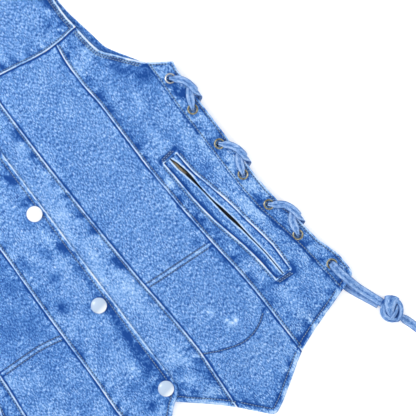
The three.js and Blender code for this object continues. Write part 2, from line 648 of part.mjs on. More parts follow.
// One half of the lacing: it leaves the first eyelet of the front (or of the back), and passes in turn
// round the edge and between the strips until it comes out of the last eyelet.
function lacingStations(startsAbove) {
  const holeAbove = [INSIDE_HIGH + 1.1, OVER_FLANGE - 0.9];
  const holeBelow = [INSIDE_LOW - 1.0, BELOW + 0.6];
  const side = startsAbove ? 1 : -1;
  const out = [];
  for (let n = 0; n + 1 < EYELETS.length; n += 2) {
    const [first, second, third] = [EYELETS[n], EYELETS[n + 1], EYELETS[n + 2]];
    const wrap = startsAbove ? wrapOver(first, second) : wrapUnder(first, second);
    const [leave, arrive] = startsAbove ? [holeAbove, holeBelow] : [holeBelow, holeAbove];
    const wayOut = heading([first.across, first.down], wrap.turn[0].point);
    const wayIn = heading(wrap.turn.at(-1).point, [second.across, second.down]);
    if (n === 0) {
      const start = LACE_MIDDLE + (side * SEAM_GAP) / 2;
      const normal = [-wayOut[0] * side, -wayOut[1] * side, 0];
      out.push(station(first.across, first.down, start, normal, LACE.bunched, LACE.bunchedThickness));
    }
    out.push(...inHole(first, leave[0], leave[1], wayOut), ...wrap.exit, ...wrap.turn, ...wrap.entry);
    out.push(...inHole(second, arrive[1], arrive[0], [-wayIn[0], -wayIn[1]]));
    out.push(...(startsAbove
      ? insideRun(second, third, side, INSIDE_LOW, INSIDE_HIGH)
      : insideRun(second, third, side, INSIDE_HIGH, INSIDE_LOW)));
  }
  const last = EYELETS.at(-1);
  const [from, to] = startsAbove ? holeAbove : holeBelow;
  out.push(...inHole(last, from, to, [0.1, 1]));
  return out;
}

// The two loose ends leave the last eyelets, run together to a knot, and one end hangs out of it
const KNOT = { across: 228, down: 482, halfAcross: 10.5, halfDown: 13.5, height: 14 };
const TAIL_FRONT = [
  [208.1, 412.4, OVER_FLANGE], [208.4, 416.5, OVER_FLANGE], [209, 421, ON_STRIP + 0.3], [210.8, 429, ON_STRIP + 0.1],
  [212.6, 437, ON_STRIP - 0.8], [215, 446, 5.6], [218, 454, 4.0], [221, 462, 4.4], [223.9, 469.6, 6.4],
];
const TAIL_BACK = [
  [207.6, 412.4, BELOW], [206.8, 417, BELOW], [205.9, 424, BELOW], [205.8, 432, BELOW], [207.4, 440, BELOW],
  [210.6, 448, BELOW], [214.2, 456, BELOW], [217.6, 463.2, BELOW + 0.9], [221.3, 471.3, 4.0],
];
const TAIL_END = [
  [231.7, 493.9, 4.2], [233.5, 499.2, 2.2], [235.8, 505.5, BELOW], [237.6, 511.5, BELOW], [239.6, 518, BELOW],
  [242, 526, BELOW],
];

function addLacing(front) {
  const { name, sign } = front;
  const material = () => cloth(LACE_BLUE);
  add(`lacing_front_${name}`, laceGeometry(lacingStations(true), sign), material());
  add(`lacing_back_${name}`, laceGeometry(lacingStations(false), sign), material());
  const tail = (part, route, normal, start) => {
    const stations = route.map(([across, down, z], n) => station(across, down, z, normal, n === 0 ? start : LACE.width));
    add(`${part}_${name}`, laceGeometry(stations, sign), material());
  };
  tail('tail_front', TAIL_FRONT, UP, 4.4);
  tail('tail_back', TAIL_BACK, DOWNWARDS, 4.4);
  tail('tail_end', TAIL_END, UP, 6);
  const knot = new THREE.SphereGeometry(1, 12, 8);
  knot.scale(KNOT.halfAcross, KNOT.halfDown, KNOT.height / 2);
  const mesh = add(`knot_${name}`, knot, material());
  mesh.position.set(sign * KNOT.across, MID_DOWN - KNOT.down, KNOT.height / 2);
}

addBack();
for (const front of FRONTS) {
  addFrontPanels(front);
  addWeltPocket(front);
  addStrip(front);
  addLacing(front);
}
addSnaps();

export default vest;
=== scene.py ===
"""A sleeveless denim vest lying on its back: cloth, stitching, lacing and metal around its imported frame.

Sizes are written in millimetres as on a paper pattern: "across" is counted outwards from the centre front
and "down" from a line level with the top of the armholes. Meshes are in metres, +X to the wearer's left,
+Y to the shoulders, +Z out of the front.
"""
import functools
import logging
import math
from dataclasses import dataclass, field
from enum import Enum
from typing import Callable, Sequence

import bpy
import numpy as np
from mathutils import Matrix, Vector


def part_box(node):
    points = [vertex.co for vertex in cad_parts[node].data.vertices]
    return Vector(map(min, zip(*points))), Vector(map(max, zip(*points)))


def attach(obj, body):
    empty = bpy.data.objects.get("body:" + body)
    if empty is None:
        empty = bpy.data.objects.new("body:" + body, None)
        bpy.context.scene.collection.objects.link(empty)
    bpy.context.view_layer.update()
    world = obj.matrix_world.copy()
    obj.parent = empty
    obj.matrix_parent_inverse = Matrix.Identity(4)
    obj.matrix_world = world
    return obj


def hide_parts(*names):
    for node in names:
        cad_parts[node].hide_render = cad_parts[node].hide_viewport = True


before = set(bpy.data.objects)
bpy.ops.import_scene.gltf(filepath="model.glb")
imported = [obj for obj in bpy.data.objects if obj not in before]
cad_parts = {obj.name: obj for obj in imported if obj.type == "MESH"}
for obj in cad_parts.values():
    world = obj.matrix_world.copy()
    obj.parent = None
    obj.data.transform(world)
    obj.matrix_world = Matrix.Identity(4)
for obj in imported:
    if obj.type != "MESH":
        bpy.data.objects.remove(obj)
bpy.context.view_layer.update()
LOG = logging.getLogger("vest")

MM = 0.001
TINY = 1e-9
BODY = "root"

# The row down the pattern that lies on the frame's origin, the gap at seams and the cloths' thicknesses
MID_DOWN = 209.5
SEAM_GAP = 0.3
DENIM = 1.2
STRIP_DENIM = 1.6
LINING = 1.0

# How far the cloth's underside is above the floor, as in the frame
SHOULDER_CLEAR = 1.5
BODY_CLEAR = 3.4
STRIP_CLEAR = 7.2
BACK_STRIP_CLEAR = 2.2
OVERLAP_RISE = 2.2

Value = float | np.ndarray
Edge = Callable[[np.ndarray], np.ndarray]
Material = bpy.types.Material
Piece = bpy.types.Object
Tree = bpy.types.NodeTree
Socket = bpy.types.NodeSocket

# The pattern's lines: points (across, down), or rows with the key first and then a column for each front
NECK = [(-11.5, 72), (10, 60), (28, 34), (40, 10), (52, -20), (64, -54), (72, -78)]
SHOULDER_TIP = (150, -52)
BACK_NECK = [(0, -60), (25, -61.5), (50, -67), (72, -78)]
BAND_SEAM = [
    (-10, 40, 46), (57, 40.2, 47), (147, 40.3, 48), (202, 41.5, 48.3), (263, 43.7, 50), (308, 45.8, 50.7),
    (363, 49.3, 51.3), (398, 50.7, 52.7), (430, 49, 51.5), (475, 46, 49),
]
SIDE_SEAM = [
    (60, 121), (97, 116.7), (113, 116.7), (147, 119), (213, 119), (263, 121), (297, 123.3), (330, 126),
    (363, 129.3), (397, 131), (470, 131.7),
]
YOKE_SEAM = [(36, 56.5), (57, 60), (75, 63.2), (93, 66.8), (113, 69), (121, 69), (140, 67.6), (150, 66.9)]
POCKET_MOUTH = [(40, 316.2, 310.5), (60, 317.8, 305), (80, 319, 301.7), (127, 321.8, 300)]
HEM = [
    (2.5, 428.5), (10, 435), (26.7, 450), (47.5, 470.5), (60, 484.5), (74, 497), (80, 494.8), (100, 483),
    (131.5, 463), (143, 457.5), (170, 448), (200, 437.5),
]
HEM_CORNER = [(-11.5, 408), (-10.9, 415), (-6, 422), (2.5, 428.5)]
HEM_POINT = 74.0
ARMHOLE_TOP = [SHOULDER_TIP, (147, -20), (145.8, 10), (145.2, 33), (144.8, 50), (146.2, 66.9)]
ARMHOLE_LOW = [(146.2, 66.9), (148.3, 88), (151.5, 101), (159, 110.5), (167, 121), (181, 138.5)]
STRIP_TOP = [(181, 138.5), (203, 153.5)]
STRIP_BOTTOM = [(200, 437.5), (209, 434.5), (216.5, 431.5), (220, 428)]
STRIP_INNER = [
    (138.5, 181), (160, 180.5), (195, 179.5), (230, 180), (290, 181), (320, 183), (340, 187), (367, 192),
    (395, 196), (437.5, 200),
]
STRIP_OUTER = [
    (153.5, 203), (162, 201.5), (200, 200.5), (290, 200.5), (330, 203.5), (345, 207), (365, 209.5),
    (380, 211.5), (395, 216), (409.5, 219.5), (428, 220),
]
BACK_ARMHOLE = [
    SHOULDER_TIP, (149, -20), (147.7, 10), (147.8, 33), (149, 50), (151.5, 65), (155, 85), (157.5, 99),
    (163, 109.5), (169, 119), (176, 130.5), (181, 139.5), (201, 154),
]
BACK_SIDE = [
    (201, 154), (199.5, 200), (199.5, 290), (202.5, 330), (206, 345), (208.5, 365), (210.5, 380), (215, 395),
    (218.5, 410), (219, 426),
]
BACK_HEM = [(219, 426), (214, 430), (199, 433), (130, 428), (60, 424), (0, 419)]

# The window's edges, and the slit's middle and width, by down
WELT = [
    (229, 134.8, 150.5), (250, 136.2, 152), (272, 137.4, 156.6), (303, 141, 163.2), (320, 144.6, 165.6),
    (345, 150, 169.8), (365, 153, 172), (389, 155, 171.6),
]
SLIT = [
    (229, 142.2, 0.8), (236, 143.8, 3.0), (243, 145, 4.0), (250, 146.6, 3.8), (260, 148, 2.8),
    (270, 149, 1.6), (280, 150.2, 1.2), (290, 151.5, 1.6), (300, 153.2, 2.8), (310, 154.8, 3.2),
    (320, 156.6, 2.8), (330, 158, 1.6), (340, 159.2, 1.2), (350, 160.6, 0.9), (365, 162.2, 0.8),
    (389, 163.4, 0.8),
]
WELT_TOP, WELT_BOTTOM = 229.0, 389.0

# The pocket bag's sides, by down
BAG = [(222, 128, 160), (300, 131, 171), (398, 142, 178)]

# The snaps, the half width, half length and fading of the dark cloth round each, and the eyelets
SNAPS = [(0, 82), (1, 192), (-2.5, 303.5), (1, 410)]
SNAP_SHADE = (9.5, 9.5, -0.9)
EYELETS = [
    (190.5, 165.5), (190, 203.5), (190.5, 247), (191, 285.5), (193.5, 325), (198.5, 366.5), (208, 410),
]

# The largest folds: x to the wearer's left and down at both ends, height and half width
FOLDS = np.array([
    (127, 232, 128, 292, 1.4, 7), (176, 215, 172, 262, 1.6, 9), (181, 300, 178, 355, 1.5, 8),
    (22, 236, 30, 300, 1.6, 13), (-8, 236, -9, 390, 1.3, 9), (24, 330, 30, 395, 1.4, 10),
    (18, 432, 38, 442, 2.0, 7), (140, 428, 147, 454, 2.2, 6), (158, 424, 166, 447, 1.8, 7),
    (84, 462, 88, 484, 1.6, 7), (62, 452, 66, 474, 1.4, 6), (132, 38, 140, 62, 1.5, 6),
    (150, 128, 172, 160, 1.8, 9), (60, 90, 62, 170, 1.2, 14), (95, 230, 88, 290, 1.3, 16),
    (-128, 240, -127, 300, 1.5, 7), (-174, 222, -171, 268, 1.5, 9), (-180, 305, -177, 350, 1.4, 8),
    (-25, 340, -33, 392, 1.5, 10), (-28, 446, -44, 458, 1.6, 7), (-142, 430, -149, 453, 2.0, 6),
    (-160, 425, -168, 446, 1.6, 7), (-86, 464, -90, 484, 1.6, 7), (-134, 36, -140, 60, 1.4, 6),
    (-152, 130, -171, 158, 1.7, 9), (-66, 100, -64, 185, 1.3, 14), (-94, 225, -88, 285, 1.2, 16),
], dtype=float)

# Worn and unfaded spots, and spots of painted shade: x to the wearer's left, down, half width, half length,
# fading
SPOTS = [
    # beside the side seam
    (123, 85, 3, 5, -1.2), (124, 119, 4, 5, -0.9), (125, 137, 4, 3.5, -0.9), (125, 155, 4.5, 4, -1.2),
    (128, 169, 2, 4, -0.7), (126, 182, 4, 2, -0.8), (124, 199, 3, 3, -1.0), (123, 213, 3, 2.5, -0.9),
    (123, 226, 2.5, 6, -0.9), (128, 101, 5, 6, 0.45), (131, 143, 4, 4, 0.3), (140, 216, 12, 5, 0.6),
    (145, 219, 2, 2, -0.8), (122, 328, 2.5, 6, -1.0), (113, 312, 4, 4, -0.9), (124, 346, 2, 8, -0.6),
    # under the arm
    (142, 85, 3, 2.5, -1.1), (142.5, 105, 1.8, 6, -0.9), (131, 78, 1.6, 8, -0.6), (157, 134, 3, 6, -0.8),
    (164, 148, 6, 7, -1.0), (176, 149, 5, 8, -1.4), (178, 140, 3.5, 3, -1.2), (151, 111, 2.5, 6, 0.6),
    (170, 136, 3, 5, 0.8), (136, 96, 3, 8, 0.4),
    # the yoke
    (64, 54, 4, 4, -1.2), (75.5, 55, 2, 6, -0.8), (91, 60, 1.6, 4, -0.8), (104, 62, 2, 4, -0.7),
    (113, 62, 1.4, 4, -0.7), (123, 50, 5, 3, -0.8), (132, 47, 3, 3, -0.9), (138, 54, 4, 4, -1.3),
    (141, 61, 2, 4, -0.9), (140, 30, 4, 2, -1.3), (138, 43, 1.6, 5, -1.0), (126, 62, 1.4, 4, -0.8),
    (130, 63, 1.2, 4, -0.7), (133, 38, 3, 8, 0.7), (70, 50, 3, 6, 0.4), (107, 59, 5, 3, 0.7),
    (84, 60, 4, 3, 0.5), (143, 45, 1.6, 18, 0.6),
    # round the slanted pocket
    (127, 246, 2.6, 12, 1.1), (124, 262, 2.8, 6, -1.3), (128, 278, 2.4, 9, 0.7), (126, 292, 3, 5, -1.3),
    (133, 298, 4, 2.2, -1.3), (133, 311, 3, 3, -0.8), (128, 318, 3, 5, 0.4), (134, 326, 3, 6, -0.8),
    (134, 348, 3, 4, -0.8), (137, 356, 4, 5, 0.4), (136, 367, 4, 3, -0.9), (142, 392, 5, 3, -1.1),
    (157, 441, 1.6, 6, 1.0), (152, 444, 1.8, 6, -1.2), (163, 436, 2, 6, -1.2), (148, 448, 1.5, 5, 0.8),
    (132, 450, 3, 8, -1.1), (140.3, 452.5, 1.4, 6, 2.4), (134.2, 457, 1.2, 4, 1.6),
    (137, 455, 1.5, 6, -1.0), (144.5, 455, 2, 6, -1.0), (116, 463, 2.5, 4, -1.0), (122, 463, 1.5, 5, 1.1),
    (136, 388, 3, 2, -0.8), (164, 262, 4.5, 9, -0.9), (172, 292, 3, 4, -0.6), (170, 303, 4, 9, 0.35),
    # painted shadow below the window's lower bar at (160, 396), and beside the bar at (175, 390)
    (175, 390, 3, 8, -0.8), (160, 396, 6, 1.6, -0.8), (165, 403, 15, 6, 0.3), (170, 228, 8, 6, 0.3),
    # the eyelet strip
    # the dark patches between paired eyelets, at (189, 180), (193, 187) and (197, 266), are unfaded cloth and
    # painted shadow of the lacing; the thin one along the strip's seam at (196, 395) is painted shadow of the
    # side front's edge
    (189, 180, 6, 11, -1.5), (192, 177, 2, 2, 0.9), (193, 187, 4.5, 7, -0.9), (190, 149, 6, 4, 0.4),
    (186, 224, 3, 5, -0.9), (187, 236, 3, 3, -0.8), (184, 262, 2.2, 22, -1.1), (186, 318, 3, 14, -0.9),
    (190, 351, 4, 11, -1.3), (203, 379, 4.5, 4, -1.4), (202, 425, 4, 7, -1.3), (206, 431, 3.5, 3, -1.4),
    (189, 432, 2, 5, -1.0), (192, 222, 2, 9, 0.5), (197, 266, 3, 9, -0.6), (193, 300, 3, 8, 0.4),
    (196, 395, 1.4, 28, -0.7),
    # the band
    (34, 117, 5, 5, -1.3), (36, 123, 2.5, 3, -0.8), (35, 145, 4, 5, -1.2), (34, 182, 4, 5, -1.1),
    (34, 203, 4, 2, -0.7), (37, 221, 3, 7, -1.1), (37, 240, 5, 7, -1.2), (37, 280, 6, 8, -1.4),
    (22, 210, 8, 8, 0.35), (25, 130, 5, 4, 0.25), (15, 286, 4, 2, 0.7), (22, 262, 3, 10, 0.4),
    (33, 305, 8, 8, 0.3), (38, 412, 8, 6, -1.2), (22, 405, 5, 4, -0.9), (15, 418, 3, 5, -1.5),
    (20, 432, 7, 6, -1.4), (42, 427, 6, 4, -0.9), (33, 446, 4, 5, 0.4), (27, 419, 5, 3, 0.4),
    # painted shadow under the placket's edge at (10, 122), and in the gap beside the placket's edge at (2.6,
    # 322), (0, 365) and (2, 236)
    (10, 122, 2, 3, -1.8), (2.6, 322, 3.2, 66, -1.2), (0, 365, 5, 26, -1.2), (-7, 388, 5, 11, -0.7),
    (-11, 374, 4, 8, 0.7), (-18, 352, 6, 5, 0.5), (-5, 395, 4, 3, 1.0), (16, 411, 3, 3, 0.9),
    (0, 177, 8, 4, -1.1), (2, 236, 4, 7, -1.3), (5, 178, 4, 3, -0.9), (-4.5, 217, 1.6, 11, 1.0),
    # painted shade of a crease that runs down to the placket's edge
    (-3, 140, 1.6, 3, -1.6), (0, 146, 1.6, 3.4, -1.6), (3, 152, 1.6, 3.2, -1.8),
    (5.5, 157, 1.6, 2.6, -1.8),
    # the centre, above and below the pocket's mouth
    (66, 308, 1.5, 4, -0.9), (80, 309, 1.5, 4, -0.9), (82, 375, 2.2, 3.2, 2.4), (93, 398, 5.5, 2, 2.2),
    (98, 396, 1.6, 3, 1.4), (87.5, 399.5, 2, 1.6, 1.2), (90, 392, 1.6, 2.4, 1.2), (107, 400, 3, 1.4, 0.6),
    (65, 474, 1.2, 6, -1.0), (78, 481, 1.5, 8, -1.3), (86, 485, 1.5, 5, -1.6), (113, 465, 2, 5, -1.2),
    (52, 453, 1, 4, -0.6), (126, 458, 2, 5, -0.8),
    # the other front
    (-9, 290, 4, 32, 0.5), (-20, 255, 6, 4, -0.8), (-14, 232, 6, 8, -0.8), (-24, 390, 5, 5, -0.9),
    # (-189, 180) copies the patch of unfaded cloth and painted lacing shadow between the first pair of eyelets
    (-13, 402, 5, 5, -1.0), (-20, 416, 5, 5, -1.1), (-84, 375, 2.2, 2.6, 0.9), (-189, 180, 6, 11, -1.4),
    (-190, 351, 4, 11, -1.3), (-203, 379, 4.5, 4, -1.3), (-176, 149, 5, 8, -1.3), (-124, 121, 4, 5, -1.2),
    (-125, 158, 4.5, 4, -1.1), (-124, 203, 3, 4, -1.0), (-127, 250, 2.6, 11, 0.9),
    (-125, 286, 3, 6, -1.2), (-36, 150, 4, 6, -1.1), (-37, 226, 4, 8, -1.1), (-34, 281, 5, 7, -1.2),
    (-184, 266, 2.2, 20, -1.0),
]


class Side(Enum):
    """The wearer's two sides: name, direction of X, column in the fronts' tables, laps over the other."""

    LEFT = ("left", 1.0, 1, False)
    RIGHT = ("right", -1.0, 2, True)

    @property
    def label(self) -> str:
        """The word used in the names of pieces."""
        return self.value[0]

    @property
    def sign(self) -> float:
        """+1 where across runs along +X."""
        return self.value[1]

    @property
    def column(self) -> int:
        """The column of the tables with a measure for each front."""
        return self.value[2]

    @property
    def upper(self) -> bool:
        """Whether this front laps over the other."""
        return self.value[3]


def mix(a: Value, b: Value, t: Value) -> Value:
    """A value or an array between a and b."""
    return a + (b - a) * t


def ease(start: float, end: float, value: np.ndarray) -> np.ndarray:
    """A soft step from 0 at start to 1 at end."""
    t = np.clip((np.asarray(value, float) - start) / (end - start), 0, 1)
    return t * t * (3 - 2 * t)


class Reader:
    """A column of a measured table, read at any value of its key by a curve that never overshoots."""

    def __init__(self, rows: Sequence[Sequence[float]], column: int = 1) -> None:
        """Takes the key from each row's first place and the values from the column."""
        table = np.array(rows, float)
        self.keys = table[:, 0]
        self.values = table[:, column]
        slope = np.diff(self.values) / np.diff(self.keys)
        product = slope[:-1] * slope[1:]
        total = slope[:-1] + slope[1:]
        inner = np.where(product > 0, 2 * product / np.where(total == 0, 1, total), 0)
        self.bend = np.concatenate([slope[:1], inner, slope[-1:]])

    def at(self, value: float) -> float:
        """The column's value at one key."""
        return float(self(value))

    def __call__(self, value: np.ndarray) -> np.ndarray:
        """The column's values at some keys."""
        value = np.asarray(value, float)
        i = np.clip(np.searchsorted(self.keys, value, side="right") - 1, 0, len(self.keys) - 2)
        width = self.keys[i + 1] - self.keys[i]
        t = np.clip((value - self.keys[i]) / width, 0, 1)
        rise = self.values[i + 1] - self.values[i]
        cubic = rise * (3 * t**2 - 2 * t**3) + self.bend[i] * width * (t**3 - 2 * t**2 + t)
        return self.values[i] + cubic + self.bend[i + 1] * width * (t**3 - t**2)


def spline(points: Sequence[Sequence[float]], steps: int = 16) -> np.ndarray:
    """Close points of a centripetal curve through some points, in any number of dimensions.

    Args:
        points: what the curve passes through.
        steps: how many points it gives for each stretch.

    Returns:
        The curve's points, one row each.
    """
    p = np.array(points, float)
    p = np.vstack([2 * p[0] - p[1], p, 2 * p[-1] - p[-2]])
    spans = np.sqrt(np.linalg.norm(np.diff(p[:, :3], axis=0), axis=1))
    knots = np.concatenate([[0], np.cumsum(spans + TINY)])
    out = []
    for n in range(1, len(p) - 2):
        t0, t1, t2, t3 = knots[n - 1:n + 3]
        t = np.linspace(t1, t2, steps, endpoint=False)[:, None]
        a1 = (t1 - t) / (t1 - t0) * p[n - 1] + (t - t0) / (t1 - t0) * p[n]
        a2 = (t2 - t) / (t2 - t1) * p[n] + (t - t1) / (t2 - t1) * p[n + 1]
        a3 = (t3 - t) / (t3 - t2) * p[n + 1] + (t - t2) / (t3 - t2) * p[n + 2]
        b1 = (t2 - t) / (t2 - t0) * a1 + (t - t0) / (t2 - t0) * a2
        b2 = (t3 - t) / (t3 - t1) * a2 + (t - t1) / (t3 - t1) * a3
        out.append((t2 - t) / (t2 - t1) * b1 + (t - t1) / (t2 - t1) * b2)
    return np.vstack([*out, p[-2:-1]])


class Line:
    """A line on the pattern, as close points with the length run so far."""

    def __init__(self, points: np.ndarray) -> None:
        """Takes points (across, down)."""
        self.points = np.asarray(points, float)
        steps = np.linalg.norm(np.diff(self.points, axis=0), axis=1)
        self.run = np.concatenate([[0], np.cumsum(steps)])

    @property
    def length(self) -> float:
        """The whole length."""
        return float(self.run[-1])

    def at(self, run: np.ndarray) -> np.ndarray:
        """The points that lie this far along."""
        run = np.asarray(run, float)
        return np.stack([np.interp(run, self.run, self.points[:, k]) for k in (0, 1)], axis=-1)

    def share(self, t: np.ndarray) -> np.ndarray:
        """The points at a share of the whole length."""
        return self.at(np.asarray(t, float) * self.length)

    def shifted(self, inwards: float) -> "Line":
        """The line moved to its right, as seen when walking along it on the paper with down at the bottom."""
        even = self.at(np.arange(0, self.length + 0.01, 1.5))
        tangent = np.gradient(even, axis=0)
        tangent /= np.linalg.norm(tangent, axis=1)[:, None] + TINY
        return Line(even + inwards * np.stack([-tangent[:, 1], tangent[:, 0]], axis=1))

    def near(self, across: np.ndarray, down: np.ndarray, reach: float) -> tuple[np.ndarray, np.ndarray]:
        """How far points are from the line, and how far along it their nearest places are.

        Args:
            across: the points' first measures.
            down: the points' second measures.
            reach: points further away than this are given as very far.

        Returns:
            The distances and the lengths run.
        """
        flat = np.stack([np.ravel(across), np.ravel(down)], axis=1)
        away = np.full(len(flat), 1e3)
        along = np.zeros(len(flat))
        line = self.at(np.arange(0, self.length + 1.9, 2.0))
        run = np.minimum(np.arange(0, self.length + 1.9, 2.0), self.length)
        inside = np.all((flat > line.min(0) - reach) & (flat < line.max(0) + reach), axis=1)
        picked = np.flatnonzero(inside)
        start, step = line[:-1], np.diff(line, axis=0)
        square = np.maximum((step**2).sum(1), TINY)
        for chunk in np.array_split(picked, max(1, len(picked) // 4000)):
            offset = flat[chunk][:, None] - start[None]
            t = np.clip((offset * step).sum(2) / square, 0, 1)
            gap = np.linalg.norm(offset - t[..., None] * step, axis=2)
            best = gap.argmin(1)
            rows = np.arange(len(chunk))
            away[chunk] = gap[rows, best]
            along[chunk] = mix(run[best], run[best + 1], t[rows, best])
        return away.reshape(np.shape(across)), along.reshape(np.shape(across))


def down_edge(reader: Reader, start: float, end: float) -> Edge:
    """An edge that runs down, from one height to another."""
    return lambda t: np.stack([reader(mix(start, end, t)), mix(start, end, t)], axis=-1)


def across_edge(reader: Reader, start: float, end: float) -> Edge:
    """An edge that runs across, from one place to another."""
    return lambda t: np.stack([mix(start, end, t), reader(mix(start, end, t))], axis=-1)


def straight(start: Sequence[float], end: Sequence[float]) -> Edge:
    """A straight edge."""
    return lambda t: np.stack([mix(start[0], end[0], t), mix(start[1], end[1], t)], axis=-1)


def join(first: Edge, second: Edge, share: float) -> Edge:
    """Two edges one after the other, the first taking a share of the way."""
    def both(t: np.ndarray) -> np.ndarray:
        """The points at a share of the whole way."""
        t = np.asarray(t, float)
        early = first(np.clip(t / share, 0, 1))
        late = second(np.clip((t - share) / (1 - share), 0, 1))
        return np.where((t < share)[..., None], early, late)
    return both


def mirrored(edge: Edge) -> Edge:
    """An edge on the other side of the centre."""
    return lambda t: edge(t) * [-1, 1]


def traced(edge: Edge) -> Line:
    """An edge as a line."""
    return Line(edge(np.linspace(0, 1, 160)))


class Noise:
    """Soft random heights over the pattern, the same on every run."""

    def __init__(self, seed: int) -> None:
        """Draws the lattice."""
        self.lattice = np.random.default_rng(seed).uniform(-1, 1, (64, 64))

    def __call__(self, x: np.ndarray, y: np.ndarray) -> np.ndarray:
        """The value at x and y, counted in cells of the lattice."""
        x, y = np.asarray(x, float) + 640, np.asarray(y, float) + 640
        i, j = np.floor(x).astype(int), np.floor(y).astype(int)
        u, v = ease(0, 1, x - i), ease(0, 1, y - j)
        grid = self.lattice
        low = mix(grid[i % 64, j % 64], grid[(i + 1) % 64, j % 64], u)
        high = mix(grid[i % 64, (j + 1) % 64], grid[(i + 1) % 64, (j + 1) % 64], u)
        return mix(low, high, v)


RIPPLE, RUMPLE, DRIFT = Noise(11), Noise(23), Noise(37)


def bell(value: np.ndarray, centre: float, width: float) -> np.ndarray:
    """A soft bump of height one."""
    return np.exp(-(((value - centre) / width) ** 2))


def fold_height(x: np.ndarray, down: np.ndarray) -> np.ndarray:
    """The ridges of the largest folds, at x to the wearer's left."""
    height = np.zeros(np.shape(x))
    for x0, down0, x1, down1, rise, width in FOLDS:
        dx, dy = x1 - x0, down1 - down0
        t = np.clip(((x - x0) * dx + (down - down0) * dy) / (dx * dx + dy * dy), 0, 1)
        away = np.hypot(x - x0 - dx * t, down - down0 - dy * t) / width
        height = height + rise * np.exp(-away * away)
    return height


def front_under(side: Side, across: np.ndarray, down: np.ndarray) -> np.ndarray:
    """The underside of a front's cloth above the floor, as in the frame.

    It rises from the shoulders to the body and on to the strip, and near the hem it comes down to the back.
    """
    body = mix(SHOULDER_CLEAR, BODY_CLEAR, ease(-60, 30, down))
    flank = (STRIP_CLEAR - BODY_CLEAR) * ease(140, 180, across) * ease(100, 145, down)
    lap = OVERLAP_RISE * (1 - ease(13, 28, across)) if side.upper else 0.0
    hem_start = mix(428, 438, ease(160, 185, across))
    drop = (1 - ease(14, 40, across)) * 0.5
    past = np.clip((down - hem_start) / 18, 0, 1)
    lying = 1 - past * past * (3 - 2 * past) * (1 - drop)
    folds = fold_height(side.sign * across, down) * (1 - ease(170, 179, across))
    return (body + flank + lap) * lying + folds


def back_under(across: np.ndarray, down: np.ndarray) -> np.ndarray:
    """The underside of the back's cloth above the floor."""
    return BACK_STRIP_CLEAR * ease(160, 179, np.abs(across)) * ease(120, 150, down)


# Meshes


def new_object(name: str, vertices: np.ndarray, faces: list, material: Material) -> Piece:
    """Makes a smooth mesh object in the scene.

    Args:
        name: the piece's name.
        vertices: rows of x, y, z in metres.
        faces: lists of vertex numbers.
        material: its finish.

    Returns:
        The new object.
    """
    mesh = bpy.data.meshes.new(name)
    mesh.from_pydata(np.asarray(vertices, float).tolist(), [], faces)
    mesh.polygons.foreach_set("use_smooth", np.ones(len(mesh.polygons), bool))
    mesh.materials.append(material)
    mesh.update()
    piece = bpy.data.objects.new(name, mesh)
    bpy.context.scene.collection.objects.link(piece)
    return piece


def paint(piece: Piece, fade_and_shade: np.ndarray, pattern: np.ndarray) -> None:
    """Gives a mesh its fading and painted shade, a value a vertex, and its place on the cloth in metres, u
    across the warp.
    """
    mesh = piece.data
    mesh.attributes.new("fade_and_shade", "FLOAT", "POINT").data.foreach_set("value", np.asarray(fade_and_shade, np.float32))
    corners = np.empty(len(mesh.loops), np.int32)
    mesh.loops.foreach_get("vertex_index", corners)
    layer = mesh.uv_layers.new(name="pattern")
    layer.uv.foreach_set("vector", np.asarray(pattern, np.float32)[corners].ravel())


def place(piece: Piece, slot: str, *nodes: str) -> Piece:
    """Lets a piece ride on the vest and stand for some nodes of the frame."""
    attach(piece, BODY)
    if nodes:
        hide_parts(*nodes)
    return piece


def shell_faces(keep: np.ndarray) -> list:
    """The faces of a closed wall over a grid of cells.

    Args:
        keep: which cells hold cloth, rows by columns. The vertices are numbered row by row, the lower
            face's after the upper face's.

    Returns:
        Lists of four vertex numbers, facing outwards where columns run along +X and rows towards -Y.
    """
    rows, columns = keep.shape
    number = np.arange((rows + 1) * (columns + 1)).reshape(rows + 1, columns + 1)
    a, b = number[:-1, :-1], number[1:, :-1]
    c, d = number[1:, 1:], number[:-1, 1:]
    lower = number.size
    upper_face = np.stack([a, b, c, d], axis=-1)[keep]
    faces = [upper_face, upper_face[:, ::-1] + lower]
    padded = np.pad(keep, 1)
    inner = padded[1:-1, 1:-1]
    for first, second, beyond in (
        (a, b, padded[1:-1, :-2]), (b, c, padded[2:, 1:-1]),
        (c, d, padded[1:-1, 2:]), (d, a, padded[:-2, 1:-1]),
    ):
        rim = inner & ~beyond
        p, q = first[rim], second[rim]
        faces.append(np.stack([p, p + lower, q + lower, q], axis=-1))
    return np.vstack(faces).tolist()


def swept(
    points: np.ndarray, normals: np.ndarray, widths: np.ndarray, heights: np.ndarray, section: np.ndarray,
) -> tuple[np.ndarray, list]:
    """A section carried along a path.

    Args:
        points: the path, rows of x, y, z.
        normals: the section's upward direction at each point.
        widths: the section's width at each point.
        heights: the section's thickness at each point.
        section: rows of (sideways, upwards), from -0.5 to 0.5, anticlockwise seen from the path's end.

    Returns:
        The vertices and the faces of the closed sweep.
    """
    tangent = np.gradient(points, axis=0)
    tangent /= np.linalg.norm(tangent, axis=1)[:, None] + 1e-12
    sideways = np.cross(tangent, normals)
    sideways /= np.linalg.norm(sideways, axis=1)[:, None] + 1e-12
    up = np.cross(sideways, tangent)
    sides = len(section)
    rings = (
        points[:, None]
        + sideways[:, None] * (section[:, 0][None, :, None] * widths[:, None, None])
        + up[:, None] * (section[:, 1][None, :, None] * heights[:, None, None])
    )
    count = len(points)
    faces = []
    for n in range(count - 1):
        for k in range(sides):
            a, b = n * sides + k, n * sides + (k + 1) % sides
            faces.append([a, b, b + sides, a + sides])
    faces.append(list(range(sides))[::-1])
    faces.append(list(range((count - 1) * sides, count * sides)))
    return rings.reshape(-1, 3), faces


